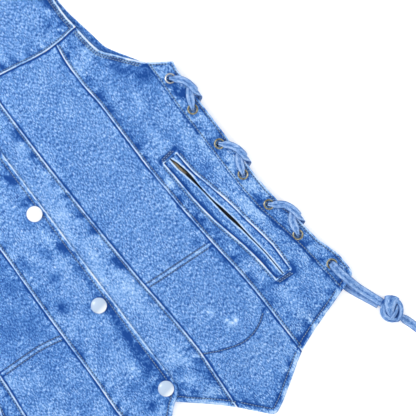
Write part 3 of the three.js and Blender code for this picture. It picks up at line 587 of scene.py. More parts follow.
def flat_section() -> np.ndarray:
    """The outline of a folded tape: flat faces and round edges."""
    sides, squareness = 20, 2.6
    angle = np.linspace(0, 2 * math.pi, sides, endpoint=False)
    c, s = np.cos(angle), np.sin(angle)
    power = 2 / squareness
    return 0.5 * np.stack([np.sign(c) * np.abs(c) ** power, np.sign(s) * np.abs(s) ** power], axis=1)


def merged(parts: Sequence[tuple[np.ndarray, list]]) -> tuple[np.ndarray, list]:
    """Several meshes as one."""
    vertices, faces, count = [], [], 0
    for points, some in parts:
        vertices.append(points)
        faces += [[n + count for n in face] for face in some]
        count += len(points)
    return np.vstack(vertices), faces


# Sewing

# How far from its line sewing marks the cloth, and a stitch, the gap after it and the room at a row's ends
REACH = 40.0
STITCH, STITCH_GAP, STITCH_MARGIN = 1.9, 1.0, 2.0

# The radius of the dark mark painted as shade in a needle's hole, how far it reaches under the stitches, and
# how high it is
HOLE_MARK = 0.78
HOLE_REACH, HOLE_LIFT = 0.2, 0.12


@dataclass(frozen=True)
class Finish:
    """The mark that a kind of sewing leaves beside a line.

    bumps hold (distance, width, height, fading, which along the lips' outer edges is painted shadow), rows the
    distances of the stitch rows, pucker the reach, height, fading and pitch of the ripples that the washed
    seam has drawn up, and blotch how dark and how far from the line the unfaded patches are.
    """

    bumps: tuple[tuple[float, float, float, float], ...]
    rows: tuple[float, ...] = ()
    pucker: tuple[float, float, float, float] = (5.0, 0.0, 0.0, 8.0)
    blotch: tuple[float, float] = (0.0, 10.0)


class Sewing(Enum):
    """The kinds of edge and seam on the vest."""

    LAPS_OVER = Finish(
        ((0, 0.3, -0.3, 0), (0.8, 0.64, 0.8, 2.2), (2.7, 0.5, -0.1, -0.4), (3.9, 0.9, -0.35, -0.5)),
        (2.7,), (7, 0.45, 0.9, 6.5), (0.6, 10),
    )
    LAPPED = Finish(((0.3, 1.2, -0.5, -2.6), (3.4, 1.6, 0.15, 0.25)), (), (6, 0.3, 0.35, 8), (0.35, 7))
    HEM = Finish(
        (
            (0, 0.6, -0.5, 0.3), (1.3, 1.3, 0.5, 1.2), (3.6, 1.4, 0.5, 0.3), (5.5, 0.7, 0.1, -2.0),
            (6.9, 1.0, -0.4, -0.5),
        ),
        (5.5,), (11, 0.8, 1.0, 8), (0.9, 14),
    )
    ARMHOLE = Finish(
        (
            (0, 0.6, -0.4, 0.3), (0.9, 0.76, 0.7, 2.3), (3.0, 0.5, 0.2, -0.6), (5.0, 0.5, 0, -0.4),
            (6.0, 0.9, -0.35, -0.4),
        ),
        (3.0, 5.0), (10, 0.6, 0.9, 8), (0.9, 15),
    )
    NECKLINE = Finish(
        ((0, 0.6, -0.4, 0.2), (1.4, 1.2, 0.6, 0.7), (6.4, 1.0, -0.3, -0.4)),
        (5.2,), (8, 0.35, 0.5, 11), (0.6, 10),
    )
    PLACKET = Finish(
        ((0, 0.5, -0.4, 0.2), (0.75, 0.66, 0.5, 1.8), (4.6, 0.5, -0.1, -0.4), (5.6, 0.9, -0.3, -0.4)),
        (4.6,), (7, 0.3, 0.5, 10), (0.8, 13),
    )
    MOUTH = Finish(
        ((0, 1.7, 0.25, 0.45), (2.4, 0.7, -0.3, -2.6), (3.6, 0.8, 0.1, 0.3)), (2.3,),
        (5, 0.3, 0.5, 6), (0.4, 7),
    )
    WINDOW = Finish(
        ((0, 0.3, -0.2, 0), (0.8, 0.74, 0.8, 2.4), (2.9, 0.5, -0.1, -0.6), (4, 0.8, -0.3, -0.4)),
        (2.9,), (6, 0.35, 0.5, 7), (1.0, 8),
    )
    # painted shadow: dark lines along the lips' outer edges, where the window's raised edges shade them
    WELT_SHADED_SEAM = Finish(((0.2, 1.2, -0.5, -2.0), (2.4, 1.2, 0.3, 0.2)), (), (4, 0.15, 0.3, 8), (0.5, 5))
    WELT_SHADE = Finish(((0, 1.0, -0.6, -1.6), (1.4, 1.6, -0.3, -1.3)), (), (4, 0.15, 0.3, 8), (0.5, 5))
    WELT_LIP = Finish(
        ((0, 0.4, -0.5, -0.3), (0.8, 0.8, 0.5, 1.9), (2.6, 0.8, -0.1, -0.4)), (), (3, 0.1, 0.2, 9),
    )
    STRIP_SEAM = Finish(((0, 1.0, -0.3, -1.2), (3, 1.6, 0.1, 0.1)), (), (5, 0.2, 0.4, 9), (0.8, 10))
    STRIP_INSIDE = Finish(((0, 0.6, -0.3, -0.7), (1.7, 0.6, 0.1, -0.5)), (1.7,), (5, 0.2, 0.4, 8), (1.0, 10))
    STRIP_EDGE = Finish(
        ((0, 0.5, -0.4, 0.2), (0.9, 0.8, 0.3, 1.2), (2.5, 0.5, -0.1, -0.4), (3.4, 0.8, -0.25, -0.3)),
        (2.5,), (5, 0.2, 0.4, 8), (0.9, 9),
    )
    OUTLINE = Finish(((0, 1.1, 0.0, -1.9), (2.2, 1.0, 0.15, 0.2)), (0,))
    BACK_EDGE = Finish(
        ((0, 0.5, -0.3, 0.1), (2.6, 2.2, 0.1, -0.6), (5.8, 0.9, -0.2, -0.6)), (5.0,), (6, 0.2, 0.3, 10),
    )


@dataclass
class Trim:
    """Some sewing along a line of a panel, which lies to its right (inwards 1) or left (-1)."""

    sewing: Sewing
    line: Line
    inwards: int

    def shape(self, across: np.ndarray, down: np.ndarray) -> tuple[np.ndarray, np.ndarray, np.ndarray]:
        """The height, the fading and the dark blotches that the sewing adds at some places; for some kinds the
        fading is painted shade.

        Args:
            across: the places' first measures.
            down: their second measures.

        Returns:
            The heights in millimetres, the fadings and how much of the blotches shows.
        """
        finish = self.sewing.value
        reach, rise, tone, pitch = finish.pucker
        away, along = self.line.near(across, down, REACH)
        height, fade_and_shade = np.zeros(away.shape), np.zeros(away.shape)
        for distance, width, bump, wear_and_shade in finish.bumps:
            soft = bell(away, distance, width)
            vary = 0.75 + 0.45 * DRIFT(along / 21, distance + 0.5)
            height += bump * soft
            fade_and_shade += wear_and_shade * soft * (vary if distance else 1)
        lean = along + 0.55 * away
        wave = 0.65 * RIPPLE(lean / pitch, self.line.length) + 0.5 * RIPPLE(lean / (pitch * 0.45), 7.3)
        wave *= 0.6 + 0.9 * np.maximum(DRIFT(along / 33, 3.7), 0)
        envelope = np.exp(-np.maximum(away - 2.5, 0) ** 2 / reach**2) * ease(0, 2, away)
        height += rise * wave * envelope
        fade_and_shade += tone * (wave + 0.5 * np.minimum(wave, 0)) * envelope
        return height, fade_and_shade, finish.blotch[0] * np.exp(-((away / finish.blotch[1]) ** 2))

    def rows(self) -> list[tuple[np.ndarray, np.ndarray]]:
        """The starts and ends of the stitches in each row, as points (across, down)."""
        return [stitch_ends(self.line.shifted(self.inwards * distance)) for distance in self.sewing.value.rows]


def stitch_ends(line: Line) -> tuple[np.ndarray, np.ndarray]:
    """Where the stitches along a line start and end."""
    starts = np.arange(STITCH_MARGIN, line.length - STITCH_MARGIN - STITCH, STITCH + STITCH_GAP)
    return line.at(starts), line.at(starts + STITCH)


def shares(width: np.ndarray, near: Sequence[float], far: Sequence[float], cells: int) -> np.ndarray:
    """Where grid lines cross a width: close together beside the seams, and even between them.

    Args:
        width: the widths to share out, one or more.
        near: distances of the close lines from the first edge.
        far: distances of the close lines from the last edge.
        cells: how many even cells lie between.

    Returns:
        The shares from 0 to 1, along a new last axis.
    """
    width = np.asarray(width, float)[..., None]
    near, far = np.array(near, float), np.array(far, float)
    tight = np.minimum(1, 0.7 * width / max(near[-1] + far[-1], 1e-6))
    middle = np.linspace(0, 1, cells + 1)[1:-1]
    first, last = near * tight, width - far[::-1] * tight
    between = first[..., -1:] + (last[..., :1] - first[..., -1:]) * middle
    out = np.concatenate([first + 0 * width, between, last], axis=-1) / width
    return np.clip(out, 0, 1)


# Where the close grid lines beside a seam run, and a seam without any
FINE = (0, 0.4, 0.85, 1.35, 2.0, 2.7, 3.5, 4.5, 5.8)
COARSE = (0,)


def washed(x: np.ndarray, across: np.ndarray, down: np.ndarray) -> np.ndarray:
    """The broad fading: livelier beside seams, paler on the band, darker low down and on the other front."""
    lively = np.where(x < 0, 0.8, 1 - ease(36, 46, across) + ease(118, 126, across))
    mottled = 0.3 * lively * RUMPLE(x / 8 + 5, down / 13)
    low = -0.04 * ease(250, 400, down)
    other_front = -0.3 * ease(30, 60, -x) * (1 - ease(280, 310, down))
    band = np.where(x > 9, 0.22 - 0.22 * ease(34, 44, x), 0)
    return mottled + low + other_front + band


def spotted(x: np.ndarray, down: np.ndarray) -> np.ndarray:
    """The fading of the worn and unfaded spots and of the spots of painted shade, and of the dark rings round
    the snaps.
    """
    fade_and_shade = np.zeros(np.shape(x))
    for spot_x, spot_down, wide, long, wear_and_shade in (*SPOTS, *((a, b, *SNAP_SHADE) for a, b in SNAPS)):
        soft = np.exp(-((x - spot_x) / wide) ** 2 - ((down - spot_down) / long) ** 2)
        fade_and_shade = fade_and_shade + wear_and_shade * soft * (0.75 + 0.6 * DRIFT(x / 2.2, down / 3.1))
    return fade_and_shade


# The thinnest that cloth is pressed, the share of its box below which a slanted piece is measured by area,
# and the narrowest cut that can be stated
THINNEST = 0.45
SPARSE = 0.4
NARROWEST_CUT = 10.0

# The eyelet strip's finer grid, and the radius of its holes
STRIP_CELL, STRIP_HOLE = 1.2, 3.1


@dataclass
class Panel:
    """One piece of cloth of a front, cut to four edges (left, right, top, bottom) of the pattern."""

    node: str
    side: Side
    edges: tuple[Edge, Edge, Edge, Edge]
    trims: list[Trim]
    thickness: float = DENIM
    cell: float = 2.3
    fine: tuple[Sequence[float], ...] = (FINE, FINE, FINE, FINE)
    holes: list[tuple[float, float, float]] = field(default_factory=list)
    sunk: float = 0.0
    rumpled: float = 1.0
    blotched: float = 0.08

    def under(self, across: np.ndarray, down: np.ndarray) -> np.ndarray:
        """The height of the lower face."""
        return front_under(self.side, across, down) - self.sunk

    def relief(self, across: np.ndarray, down: np.ndarray) -> tuple[np.ndarray, np.ndarray]:
        """What sewing, washing and lying add to the upper face: heights, and fadings that also carry painted
        shade.
        """
        x = self.side.sign * across
        # Waves of the lying cloth, about 40 and 18 mm apart, and small ones
        slack = RUMPLE(x / 36, down / 50) * 0.42 + RUMPLE(x / 15 + 9, down / 22 + 4) * 0.2
        small = DRIFT(x / 6.5, down / 9.5)
        height = self.rumpled * (slack + 0.06 * small)
        fade_and_shade = 0.22 * slack + 0.08 * small
        blotched = np.full(np.shape(across), self.blotched)
        for trim in self.trims:
            rise, wear_and_shade, near = trim.shape(across, down)
            height = height + rise
            fade_and_shade = fade_and_shade + wear_and_shade
            blotched = np.maximum(blotched, near)
        fade_and_shade = fade_and_shade + washed(x, across, down) + spotted(x, down)
        patch = 0.6 * RUMPLE(x / 5.2 + 3, down / 8) + 0.6 * DRIFT(x / 2.9 + 3, down / 4.6)
        patch = patch + 0.3 * DRIFT(x / 26, down / 40)
        fade_and_shade = fade_and_shade - blotched * (1.7 * np.maximum(patch - 0.08, 0) - 0.9 * np.maximum(-patch - 0.12, 0))
        for hole_across, hole_down, radius in self.holes:
            away = np.hypot(across - hole_across, down - hole_down)
            height = height - 0.35 * bell(away, 0, radius * 2.2)
            fade_and_shade = fade_and_shade - 0.5 * bell(away, radius * 2.3, 1.4)
        return height, fade_and_shade

    def top(self, across: np.ndarray, down: np.ndarray) -> np.ndarray:
        """The height of the upper face."""
        return self.under(across, down) + self.thickness + self.relief(across, down)[0]

    def grid(self) -> tuple[np.ndarray, np.ndarray, np.ndarray]:
        """The places of the grid's points, and which of its cells hold cloth."""
        left, right, top, bottom = self.edges
        middle = np.array([0.5])
        width = np.linalg.norm(right(middle) - left(middle))
        height = np.linalg.norm(bottom(middle) - top(middle))
        near_left, near_right, near_top, near_bottom = self.fine
        columns = max(2, round((width - near_left[-1] - near_right[-1]) / self.cell))
        rows = max(2, round((height - near_top[-1] - near_bottom[-1]) / self.cell))
        s0 = shares(width, near_left, near_right, columns)
        t0 = shares(height, near_top, near_bottom, rows)
        row_width = np.linalg.norm(right(t0) - left(t0), axis=-1)
        column_height = np.linalg.norm(bottom(s0) - top(s0), axis=-1)
        s = shares(row_width, near_left, near_right, columns)
        t = shares(column_height, near_top, near_bottom, rows).T
        corner = [edge(np.array([end]))[0] for edge in (top, bottom) for end in (0.0, 1.0)]
        s3, t3 = s[..., None], t[..., None]
        spot = mix(left(t), right(t), s3) + mix(top(s), bottom(s), t3)
        spot = spot - mix(mix(corner[0], corner[1], s3), mix(corner[2], corner[3], s3), t3)
        across, down = spot[..., 0], spot[..., 1]
        keep = np.ones((len(t0) - 1, len(s0) - 1), bool)
        return across, down, keep

    def build(self, material: Material, slot: str = "denim") -> Piece:
        """Makes the piece.

        Args:
            material: its finish.
            slot: not used.

        Returns:
            The new object, which stands for the panel's node.
        """
        across, down, keep = self.grid()
        if self.holes:
            mid_across = (across[:-1, :-1] + across[1:, 1:]) / 2
            mid_down = (down[:-1, :-1] + down[1:, 1:]) / 2
            for hole_across, hole_down, radius in self.holes:
                keep &= np.hypot(mid_across - hole_across, mid_down - hole_down) > radius
        return self.sew(across, down, keep, material, slot)

    def sew(
        self, across: np.ndarray, down: np.ndarray, keep: np.ndarray, material: Material, slot: str,
    ) -> Piece:
        """Turns a grid into the piece, with its fading, its painted shade and its place on the cloth."""
        height, fade_and_shade = self.relief(across, down)
        under = self.under(across, down)
        above = under + np.maximum(self.thickness + height, THINNEST)
        x = self.side.sign * across
        y = MID_DOWN - down
        faced = [np.stack([x, y, z], axis=-1).reshape(-1, 3) for z in (above, under)]
        vertices = np.concatenate(faced) * MM
        faces = shell_faces(keep)
        if self.side.sign < 0:
            faces = [face[::-1] for face in faces]
        used = np.zeros(len(vertices), bool)
        used[np.ravel(faces)] = True
        number = np.cumsum(used) - 1
        faces = number[np.array(faces)].tolist()
        piece = new_object(self.node + "_cloth", vertices[used], faces, material)
        pattern = np.stack([x, down], axis=-1).reshape(-1, 2) * MM
        paint(piece, np.tile(fade_and_shade.ravel(), 2)[used], np.tile(pattern, (2, 1))[used])
        place(piece, slot, self.node)
        self.declare(piece, across, down, keep)
        return piece

    def declare(self, piece: Piece, across: np.ndarray, down: np.ndarray, keep: np.ndarray) -> None:
        """States the size that the cloth was cut to, from the pattern."""
        p = np.stack([across, down], axis=-1)
        first, second = p[1:, 1:] - p[:-1, :-1], p[1:, :-1] - p[:-1, 1:]
        cells = 0.5 * np.abs(first[..., 0] * second[..., 1] - first[..., 1] * second[..., 0])
        area = float((cells * keep).sum())
        length = float(np.ptp(down))
        width = float(np.ptp(across))
        if area < SPARSE * width * length:
            width = max(area / length, NARROWEST_CUT)
        LOG.info("%s cut %.0f x %.0f mm, %.0f sq cm", piece.name, width, length, area / 100)


# The side front's grid: where its top row lies, over how much its rows turn level, how far it reaches below
# the window, its lower corners, and the close lines over and under the window and beside it
GRID_TOP, GRID_LEVELLING, GRID_BELOW = 68, 60, 62
GRID_CORNERS = (131.0, 437.5)
BY_WINDOW = (0, 0.5, 1.1, 2, 3.2, 5)
WINDOW_GRID = ((FINE[:8], FINE[:8], 2), (FINE[:4], FINE[:4], 5), (FINE[:8], FINE[:6], 4))


class SidePanel(Panel):
    """The side front, with the slanted window of its pocket left open."""

    def grid(self) -> tuple[np.ndarray, np.ndarray, np.ndarray]:
        """The places of the grid's points, with lines along the window's edges, and the cells outside it."""
        left = Reader(SIDE_SEAM)
        low = spline(ARMHOLE_LOW)
        inner = Reader(STRIP_INNER)
        armhole = Reader(np.stack([low[:, 1], low[:, 0]], axis=1))

        def right(down: float) -> np.ndarray:
            """The armhole's edge, and the strip's below it."""
            return np.where(down < low[-1, 1], armhole(down), inner(down))

        first, last = Reader(WELT, 1), Reader(WELT, 2)
        top_edge, hem = Reader(YOKE_SEAM), Reader(HEM)
        middle = np.linspace(WELT_TOP, WELT_BOTTOM, 73)
        above = WELT_TOP - shares(WELT_TOP - GRID_TOP, BY_WINDOW, FINE, 66)[::-1] * (WELT_TOP - GRID_TOP)
        below = shares(GRID_BELOW, BY_WINDOW, FINE, 20)
        fixed = np.concatenate([above[:-1], middle])
        rows_across, rows_down = [], []
        for v in np.concatenate([fixed, WELT_BOTTOM + below[1:] * GRID_BELOW]):
            held = float(np.clip(v, WELT_TOP, WELT_BOTTOM))
            span = right(held) - left(held)
            a = (first(held) - left(held)) / span
            b = (last(held) - left(held)) / span
            w = max(0.0, (v - WELT_BOTTOM) / GRID_BELOW)
            near = left(v if not w else WELT_BOTTOM + w * (hem(GRID_CORNERS[0]) - WELT_BOTTOM))
            far = right(v if not w else WELT_BOTTOM + w * (GRID_CORNERS[1] - WELT_BOTTOM))
            marks = (near, near + a * (far - near), near + b * (far - near), far)
            parts = [
                start + shares(end - start, *cells) * (end - start)
                for start, end, cells in zip(marks, marks[1:], WINDOW_GRID)
            ]
            parts = [parts[0][:-1], parts[1][:-1], parts[2]]
            row = np.concatenate(parts)
            rows_across.append(row)
            rows_down.append(self.row_down(v, w, row, top_edge, hem))
        across, down = np.array(rows_across), np.array(rows_down)
        keep = np.ones((len(across) - 1, across.shape[1] - 1), bool)
        start, count = len(above) - 1, len(middle) - 1
        first_column = len(parts[0])
        keep[start:start + count, first_column:first_column + len(parts[1])] = False
        return across, down, keep

    @staticmethod
    def row_down(v: float, w: float, row: np.ndarray, top_edge: Reader, hem: Reader) -> np.ndarray:
        """How far down a row of the grid runs: level at the window, and along the yoke seam and the hem."""
        if w:
            return mix(WELT_BOTTOM, hem(row), w)
        share = float(np.clip((v - GRID_TOP) / GRID_LEVELLING, 0, 1))
        return mix(top_edge(row) + (v - GRID_TOP), np.full(len(row), v), share)


@dataclass
class Thread:
    """Rows of stitches, gathered to make one piece."""

    radius: float = 0.4
    starts: list[np.ndarray] = field(default_factory=list)
    ends: list[np.ndarray] = field(default_factory=list)

    def along(self, panel: Panel, starts: np.ndarray, ends: np.ndarray, lift: float = 0.0) -> None:
        """Lays stitches on a panel, between points (across, down)."""
        for spots, found in ((starts, self.starts), (ends, self.ends)):
            if not len(spots):
                continue
            z = panel.top(spots[:, 0], spots[:, 1]) + lift
            found.append(np.stack([panel.side.sign * spots[:, 0], MID_DOWN - spots[:, 1], z], axis=1))

    def gaps(self, panel: Panel, starts: np.ndarray, ends: np.ndarray) -> None:
        """Marks the needle's holes with painted shade: dark pieces between one stitch's end and the next one's
        start.
        """
        if len(starts) > 1:
            first, last = (mix(ends[:-1], starts[1:], share) for share in (-HOLE_REACH, 1 + HOLE_REACH))
            self.along(panel, first, last, HOLE_LIFT)

    def build(self, name: str, material: Material, slot: str) -> Piece:
        """Makes one piece of all the stitches."""
        start, end = np.vstack(self.starts), np.vstack(self.ends)
        along = end - start
        unit = along / (np.linalg.norm(along, axis=1)[:, None] + TINY)
        sideways = np.cross([0, 0, 1.0], unit)
        sideways /= np.linalg.norm(sideways, axis=1)[:, None] + TINY
        up = np.cross(unit, sideways)
        sides = 6
        angle = np.linspace(0, 2 * math.pi, sides, endpoint=False)
        rings = []
        for share, size, lift in ((0, 0.3, -0.35), (0.2, 0.9, 0.1), (0.8, 0.9, 0.1), (1, 0.3, -0.35)):
            centre = start + along * share + up * (lift * self.radius)
            ring = centre[:, None] + size * self.radius * (
                np.cos(angle)[None, :, None] * sideways[:, None] + np.sin(angle)[None, :, None] * up[:, None])
            rings.append(ring)
        vertices = np.stack(rings, axis=1)
        count, stations = len(start), len(rings)
        number = np.arange(count * stations * sides).reshape(count, stations, sides)
        a = number[:, :-1]
        b = number[:, 1:]
        walls = np.stack([a, np.roll(a, -1, axis=2), np.roll(b, -1, axis=2), b], axis=-1).reshape(-1, 4)
        faces = walls.tolist() + number[:, 0, ::-1].tolist() + number[:, -1].tolist()
        piece = new_object(name, vertices.reshape(-1, 3) * MM, faces, material)
        return place(piece, slot)


# The fronts


@dataclass
class Front:
    """One front: its yoke, band, centre and side panels, its slanted pocket and its eyelet strip."""

    side: Side
    panels: dict[str, Panel] = field(default_factory=dict)

    def __post_init__(self) -> None:
        """Lays out the panels."""
        side = self.side
        band, flank = Reader(BAND_SEAM, side.column), Reader(SIDE_SEAM)
        yoke, mouth = Reader(YOKE_SEAM), Reader(POCKET_MOUTH, side.column)
        hem, neck = Reader(HEM), Reader(NECK)
        band_top = band.at(neck.at(band.at(0)))
        band_yoke = band.at(57)
        band_mouth = band.at(mouth.at(band.at(310)))
        band_hem = band.at(hem.at(band.at(470)))
        side_yoke = flank.at(yoke.at(flank.at(69)))
        side_mouth = flank.at(mouth.at(flank.at(320)))
        side_hem = flank.at(hem.at(flank.at(463)))
        arm_top, arm_low = Line(spline(ARMHOLE_TOP)), Line(spline(ARMHOLE_LOW))
        corner = Line(spline(HEM_CORNER))
        self.add("band", (
            straight((NECK[0][0], NECK[0][1]), HEM_CORNER[0]),
            down_edge(band, neck.at(band_top), hem.at(band_hem)),
            across_edge(neck, NECK[0][0], band_top),
            join(corner.share, across_edge(hem, HEM_CORNER[-1][0], band_hem), 2 / 5),
        ), (Sewing.PLACKET, Sewing.LAPS_OVER, Sewing.NECKLINE, Sewing.HEM))

        neck_up = across_edge(neck, NECK[-1][0], band_top)
        yoke_seam = down_edge(band, neck.at(band_top), yoke.at(band_yoke))
        self.add("yoke", (
            join(neck_up, yoke_seam, 0.7),
            arm_top.share,
            straight(NECK[-1], SHOULDER_TIP),
            join(
                across_edge(yoke, band_yoke, side_yoke),
                across_edge(yoke, side_yoke, ARMHOLE_TOP[-1][0]), 6 / 8),
        ), (None, Sewing.ARMHOLE, Sewing.LAPS_OVER, Sewing.LAPS_OVER))
        self.panels["yoke"].trims += [
            Trim(Sewing.NECKLINE, traced(neck_up), -1), Trim(Sewing.LAPPED, traced(yoke_seam), -1),
        ]

        self.add("centre_upper", (
            down_edge(band, yoke.at(band_yoke), mouth.at(band_mouth)),
            down_edge(flank, yoke.at(side_yoke), mouth.at(side_mouth)),
            across_edge(yoke, band_yoke, side_yoke),
            across_edge(mouth, band_mouth, side_mouth),
        ), (Sewing.LAPPED, Sewing.LAPPED, Sewing.LAPPED, Sewing.MOUTH))
        self.add("centre_lower", (
            down_edge(band, mouth.at(band_mouth), hem.at(band_hem)),
            down_edge(flank, mouth.at(side_mouth), hem.at(side_hem)),
            across_edge(mouth, band_mouth, side_mouth),
            join(across_edge(hem, band_hem, HEM_POINT), across_edge(hem, HEM_POINT, side_hem), 3 / 9),
        ), (Sewing.LAPPED, Sewing.LAPPED, Sewing.MOUTH, Sewing.HEM))

        strip_seam = down_edge(Reader(STRIP_INNER), STRIP_INNER[0][0], STRIP_INNER[-1][0])
        side_top = across_edge(yoke, side_yoke, ARMHOLE_LOW[0][0])
        side_bottom = across_edge(hem, side_hem, STRIP_BOTTOM[0][0])
        side_left = down_edge(flank, yoke.at(side_yoke), hem.at(side_hem))
        window = [traced(down_edge(Reader(WELT, n), WELT_TOP, WELT_BOTTOM)) for n in (1, 2)]
        self.panels["side"] = SidePanel(
            f"side_{side.label}", side, (side_left, strip_seam, side_top, side_bottom),
            [
                Trim(Sewing.LAPS_OVER, traced(side_left), -1), Trim(Sewing.ARMHOLE, arm_low, 1),
                Trim(Sewing.STRIP_SEAM, traced(strip_seam), 1), Trim(Sewing.LAPPED, traced(side_top), 1),
                Trim(Sewing.HEM, traced(side_bottom), -1), Trim(Sewing.WINDOW, window[0], 1),
                Trim(Sewing.WINDOW, window[1], -1),
            ],
        )
        self.add_pocket()
        bottom = Line(spline(STRIP_BOTTOM))
        outer = down_edge(Reader(STRIP_OUTER), STRIP_OUTER[0][0], STRIP_OUTER[-1][0])
        self.add("lace_strip", (
            strip_seam, outer, straight(*STRIP_TOP), bottom.share,
        ), (Sewing.STRIP_INSIDE, Sewing.STRIP_EDGE, Sewing.STRIP_EDGE, Sewing.HEM))
        strip = self.panels["lace_strip"]
        strip.thickness, strip.cell = STRIP_DENIM, STRIP_CELL
        strip.holes = [(across, down, STRIP_HOLE) for across, down in EYELETS]
        for part, points in EXTRA_ROWS:
            self.panels[part].trims.append(Trim(Sewing.OUTLINE, Line(spline(points)), 1))

    def add(self, part: str, edges: tuple[Edge, Edge, Edge, Edge], sewing: Sequence[Sewing | None]) -> None:
        """Lays out one panel, with its sewing on its left, right, top and bottom edges."""
        trims = [
            Trim(kind, traced(edge), inwards)
            for kind, edge, inwards in zip(sewing, edges, (-1, 1, 1, -1)) if kind
        ]
        self.panels[part] = Panel(f"{part}_{self.side.label}", self.side, edges, trims)

    def add_pocket(self) -> None:
        """Lays out the two lips in the window and the bag under them."""
        window = [Reader(WELT, n) for n in (1, 2)]
        centre, gap = Reader(SLIT, 1), Reader(SLIT, 2)
        start, end = WELT_TOP + SEAM_GAP, WELT_BOTTOM - SEAM_GAP

        def slit(way: int) -> Edge:
            """An edge of the slit, on one side of its middle."""
            return lambda t: np.stack(
                [centre(mix(start, end, t)) + way * gap(mix(start, end, t)) / 2, mix(start, end, t)], axis=-1)

        lip = Sewing.WELT_LIP
        for part, left, right, kinds in (
            ("inner", down_edge(window[0], start, end), slit(-1), (Sewing.WELT_SHADE, lip)),
            ("outer", slit(1), down_edge(window[1], start, end), (lip, Sewing.WELT_SHADED_SEAM)),
        ):
            ends = [straight(left(np.array([t]))[0], right(np.array([t]))[0]) for t in (0.0, 1.0)]
            panel = Panel(
                f"welt_{part}_{self.side.label}", self.side, (left, right, *ends),
                [Trim(kinds[0], traced(left), -1), Trim(kinds[1], traced(right), 1)],
                cell=0.9, fine=(FINE[:3], FINE[:3], COARSE, COARSE), sunk=0.35, rumpled=0.4,
            )
            self.panels[f"welt_{part}"] = panel
        sides = [down_edge(Reader(BAG, n), BAG[0][0], BAG[-1][0]) for n in (1, 2)]
        ends = [straight(sides[0](np.array([t]))[0], sides[1](np.array([t]))[0]) for t in (0.0, 1.0)]
        self.panels["pocket_bag"] = PocketBag(
            f"pocket_bag_{self.side.label}", self.side, (*sides, *ends), [], thickness=LINING, cell=1.8,
            fine=(COARSE,) * 4, rumpled=0.0, blotched=0.0,
        )

    def build(self, cloth: "Wardrobe", thread: Thread, holes: Thread) -> None:
        """Makes the panels, and lays their stitches and the needle's holes."""
        for part, panel in self.panels.items():
            if part == "pocket_bag":
                panel.build(cloth.lining, "pocket_lining")
                continue
            panel.build(cloth.denim)
            for trim in panel.trims:
                for starts, ends in trim.rows():
                    thread.along(panel, starts, ends)
                    holes.gaps(panel, starts, ends)


# Rows that follow no edge: the outline of the pocket inside, and the bars at the window's ends
EXTRA_ROWS = [
    ("centre_lower", [
        (45, 401.5), (57.5, 408), (71.5, 414.5), (90, 419.6), (104, 418.6), (116, 413.6), (128, 405),
    ]),
    ("side", [(131.5, 227.2), (142, 226), (153.5, 224.4)]),
    ("side", [(132.5, 225.4), (142, 224.2), (153, 222.8)]),
    ("side", [(152, 391.6), (163, 391.8), (174, 392.4)]),
    ("side", [(153, 393.4), (163, 393.6), (174, 394.2)]),
]


class PocketBag(Panel):
    """The tan bag that shows through the pocket's slit, painted dark as shadow except near the slit's top."""

    def under(self, across: np.ndarray, down: np.ndarray) -> np.ndarray:
        """The height of the lower face, with room below the lips."""
        room = 0.9
        folds = fold_height(self.side.sign * across, down)
        return front_under(self.side, across, down) - folds - LINING - room

    def relief(self, across: np.ndarray, down: np.ndarray) -> tuple[np.ndarray, np.ndarray]:
        """Flat, with painted shadow: dark right of the slit's middle, above about 233 mm down and below about
        250 mm down.
        """
        beside = ease(-0.6, 0.8, across - 144.6 - (down - 240) * 0.2)
        # painted shadow over the bag where the lips hide it
        shade = np.maximum(beside, np.maximum(ease(245, 253, down), 1 - ease(231, 235, down)))
        return np.zeros(np.shape(across)), -1.1 * shade


# The back


class BackPanel(Panel):
    """The back, cut whole, with the paler inside of the cloth facing up and its edges turned in."""

    turned_in: float = 13.0

    def line(self, piece: Piece, outside: Material) -> None:
        """Gives the outside and the turned edges the cloth's outer finish."""
        mesh = piece.data
        mesh.materials.append(outside)
        centres, normals = np.empty(len(mesh.polygons) * 3), np.empty(len(mesh.polygons) * 3)
        mesh.polygons.foreach_get("center", centres)
        mesh.polygons.foreach_get("normal", normals)
        centres = centres.reshape(-1, 3) / MM
        outer = normals.reshape(-1, 3)[:, 2] < 0.5
        for trim in self.trims:
            away, _ = trim.line.near(centres[:, 0], MID_DOWN - centres[:, 1], self.turned_in + 5)
            outer |= away < self.turned_in
        mesh.polygons.foreach_set("material_index", outer.astype(np.int32))

    def under(self, across: np.ndarray, down: np.ndarray) -> np.ndarray:
        """The height of the lower face."""
        return back_under(across, down)

    def relief(self, across: np.ndarray, down: np.ndarray) -> tuple[np.ndarray, np.ndarray]:
        """The sewing's marks alone, because the cloth above presses the back flat."""
        height, fade_and_shade = super().relief(across, down)
        return np.clip(height, -0.5, 0.4), fade_and_shade


def back_panel() -> BackPanel:
    """Lays out the back."""
    arm, flank = Line(spline(BACK_ARMHOLE)), Line(spline(BACK_SIDE))
    right = join(arm.share, flank.share, 7 / 16)
    neck_reader = Reader(BACK_NECK)
    end = BACK_NECK[-1]

    def neck(t: np.ndarray) -> np.ndarray:
        """The neckline, from the right shoulder to the left."""
        across = mix(-end[0], end[0], t)
        return np.stack([across, neck_reader(np.abs(across))], axis=-1)

    shoulder = 4 / 22
    top = join(
        straight((-SHOULDER_TIP[0], SHOULDER_TIP[1]), (-end[0], end[1])),
        join(neck, straight(end, SHOULDER_TIP), (1 - 2 * shoulder) / (1 - shoulder)), shoulder,
    )
    half = Line(spline(BACK_HEM))
    bottom = join(mirrored(half.share), lambda t: half.share(1 - t), 0.5)
    left = mirrored(right)
    trims = [
        Trim(Sewing.BACK_EDGE, traced(left), -1), Trim(Sewing.BACK_EDGE, traced(right), 1),
        Trim(Sewing.BACK_EDGE, traced(top), 1), Trim(Sewing.BACK_EDGE, traced(bottom), -1),
    ]
    return BackPanel("back", Side.LEFT, (left, right, top, bottom), trims, cell=3.6, rumpled=0.4)


# Metal


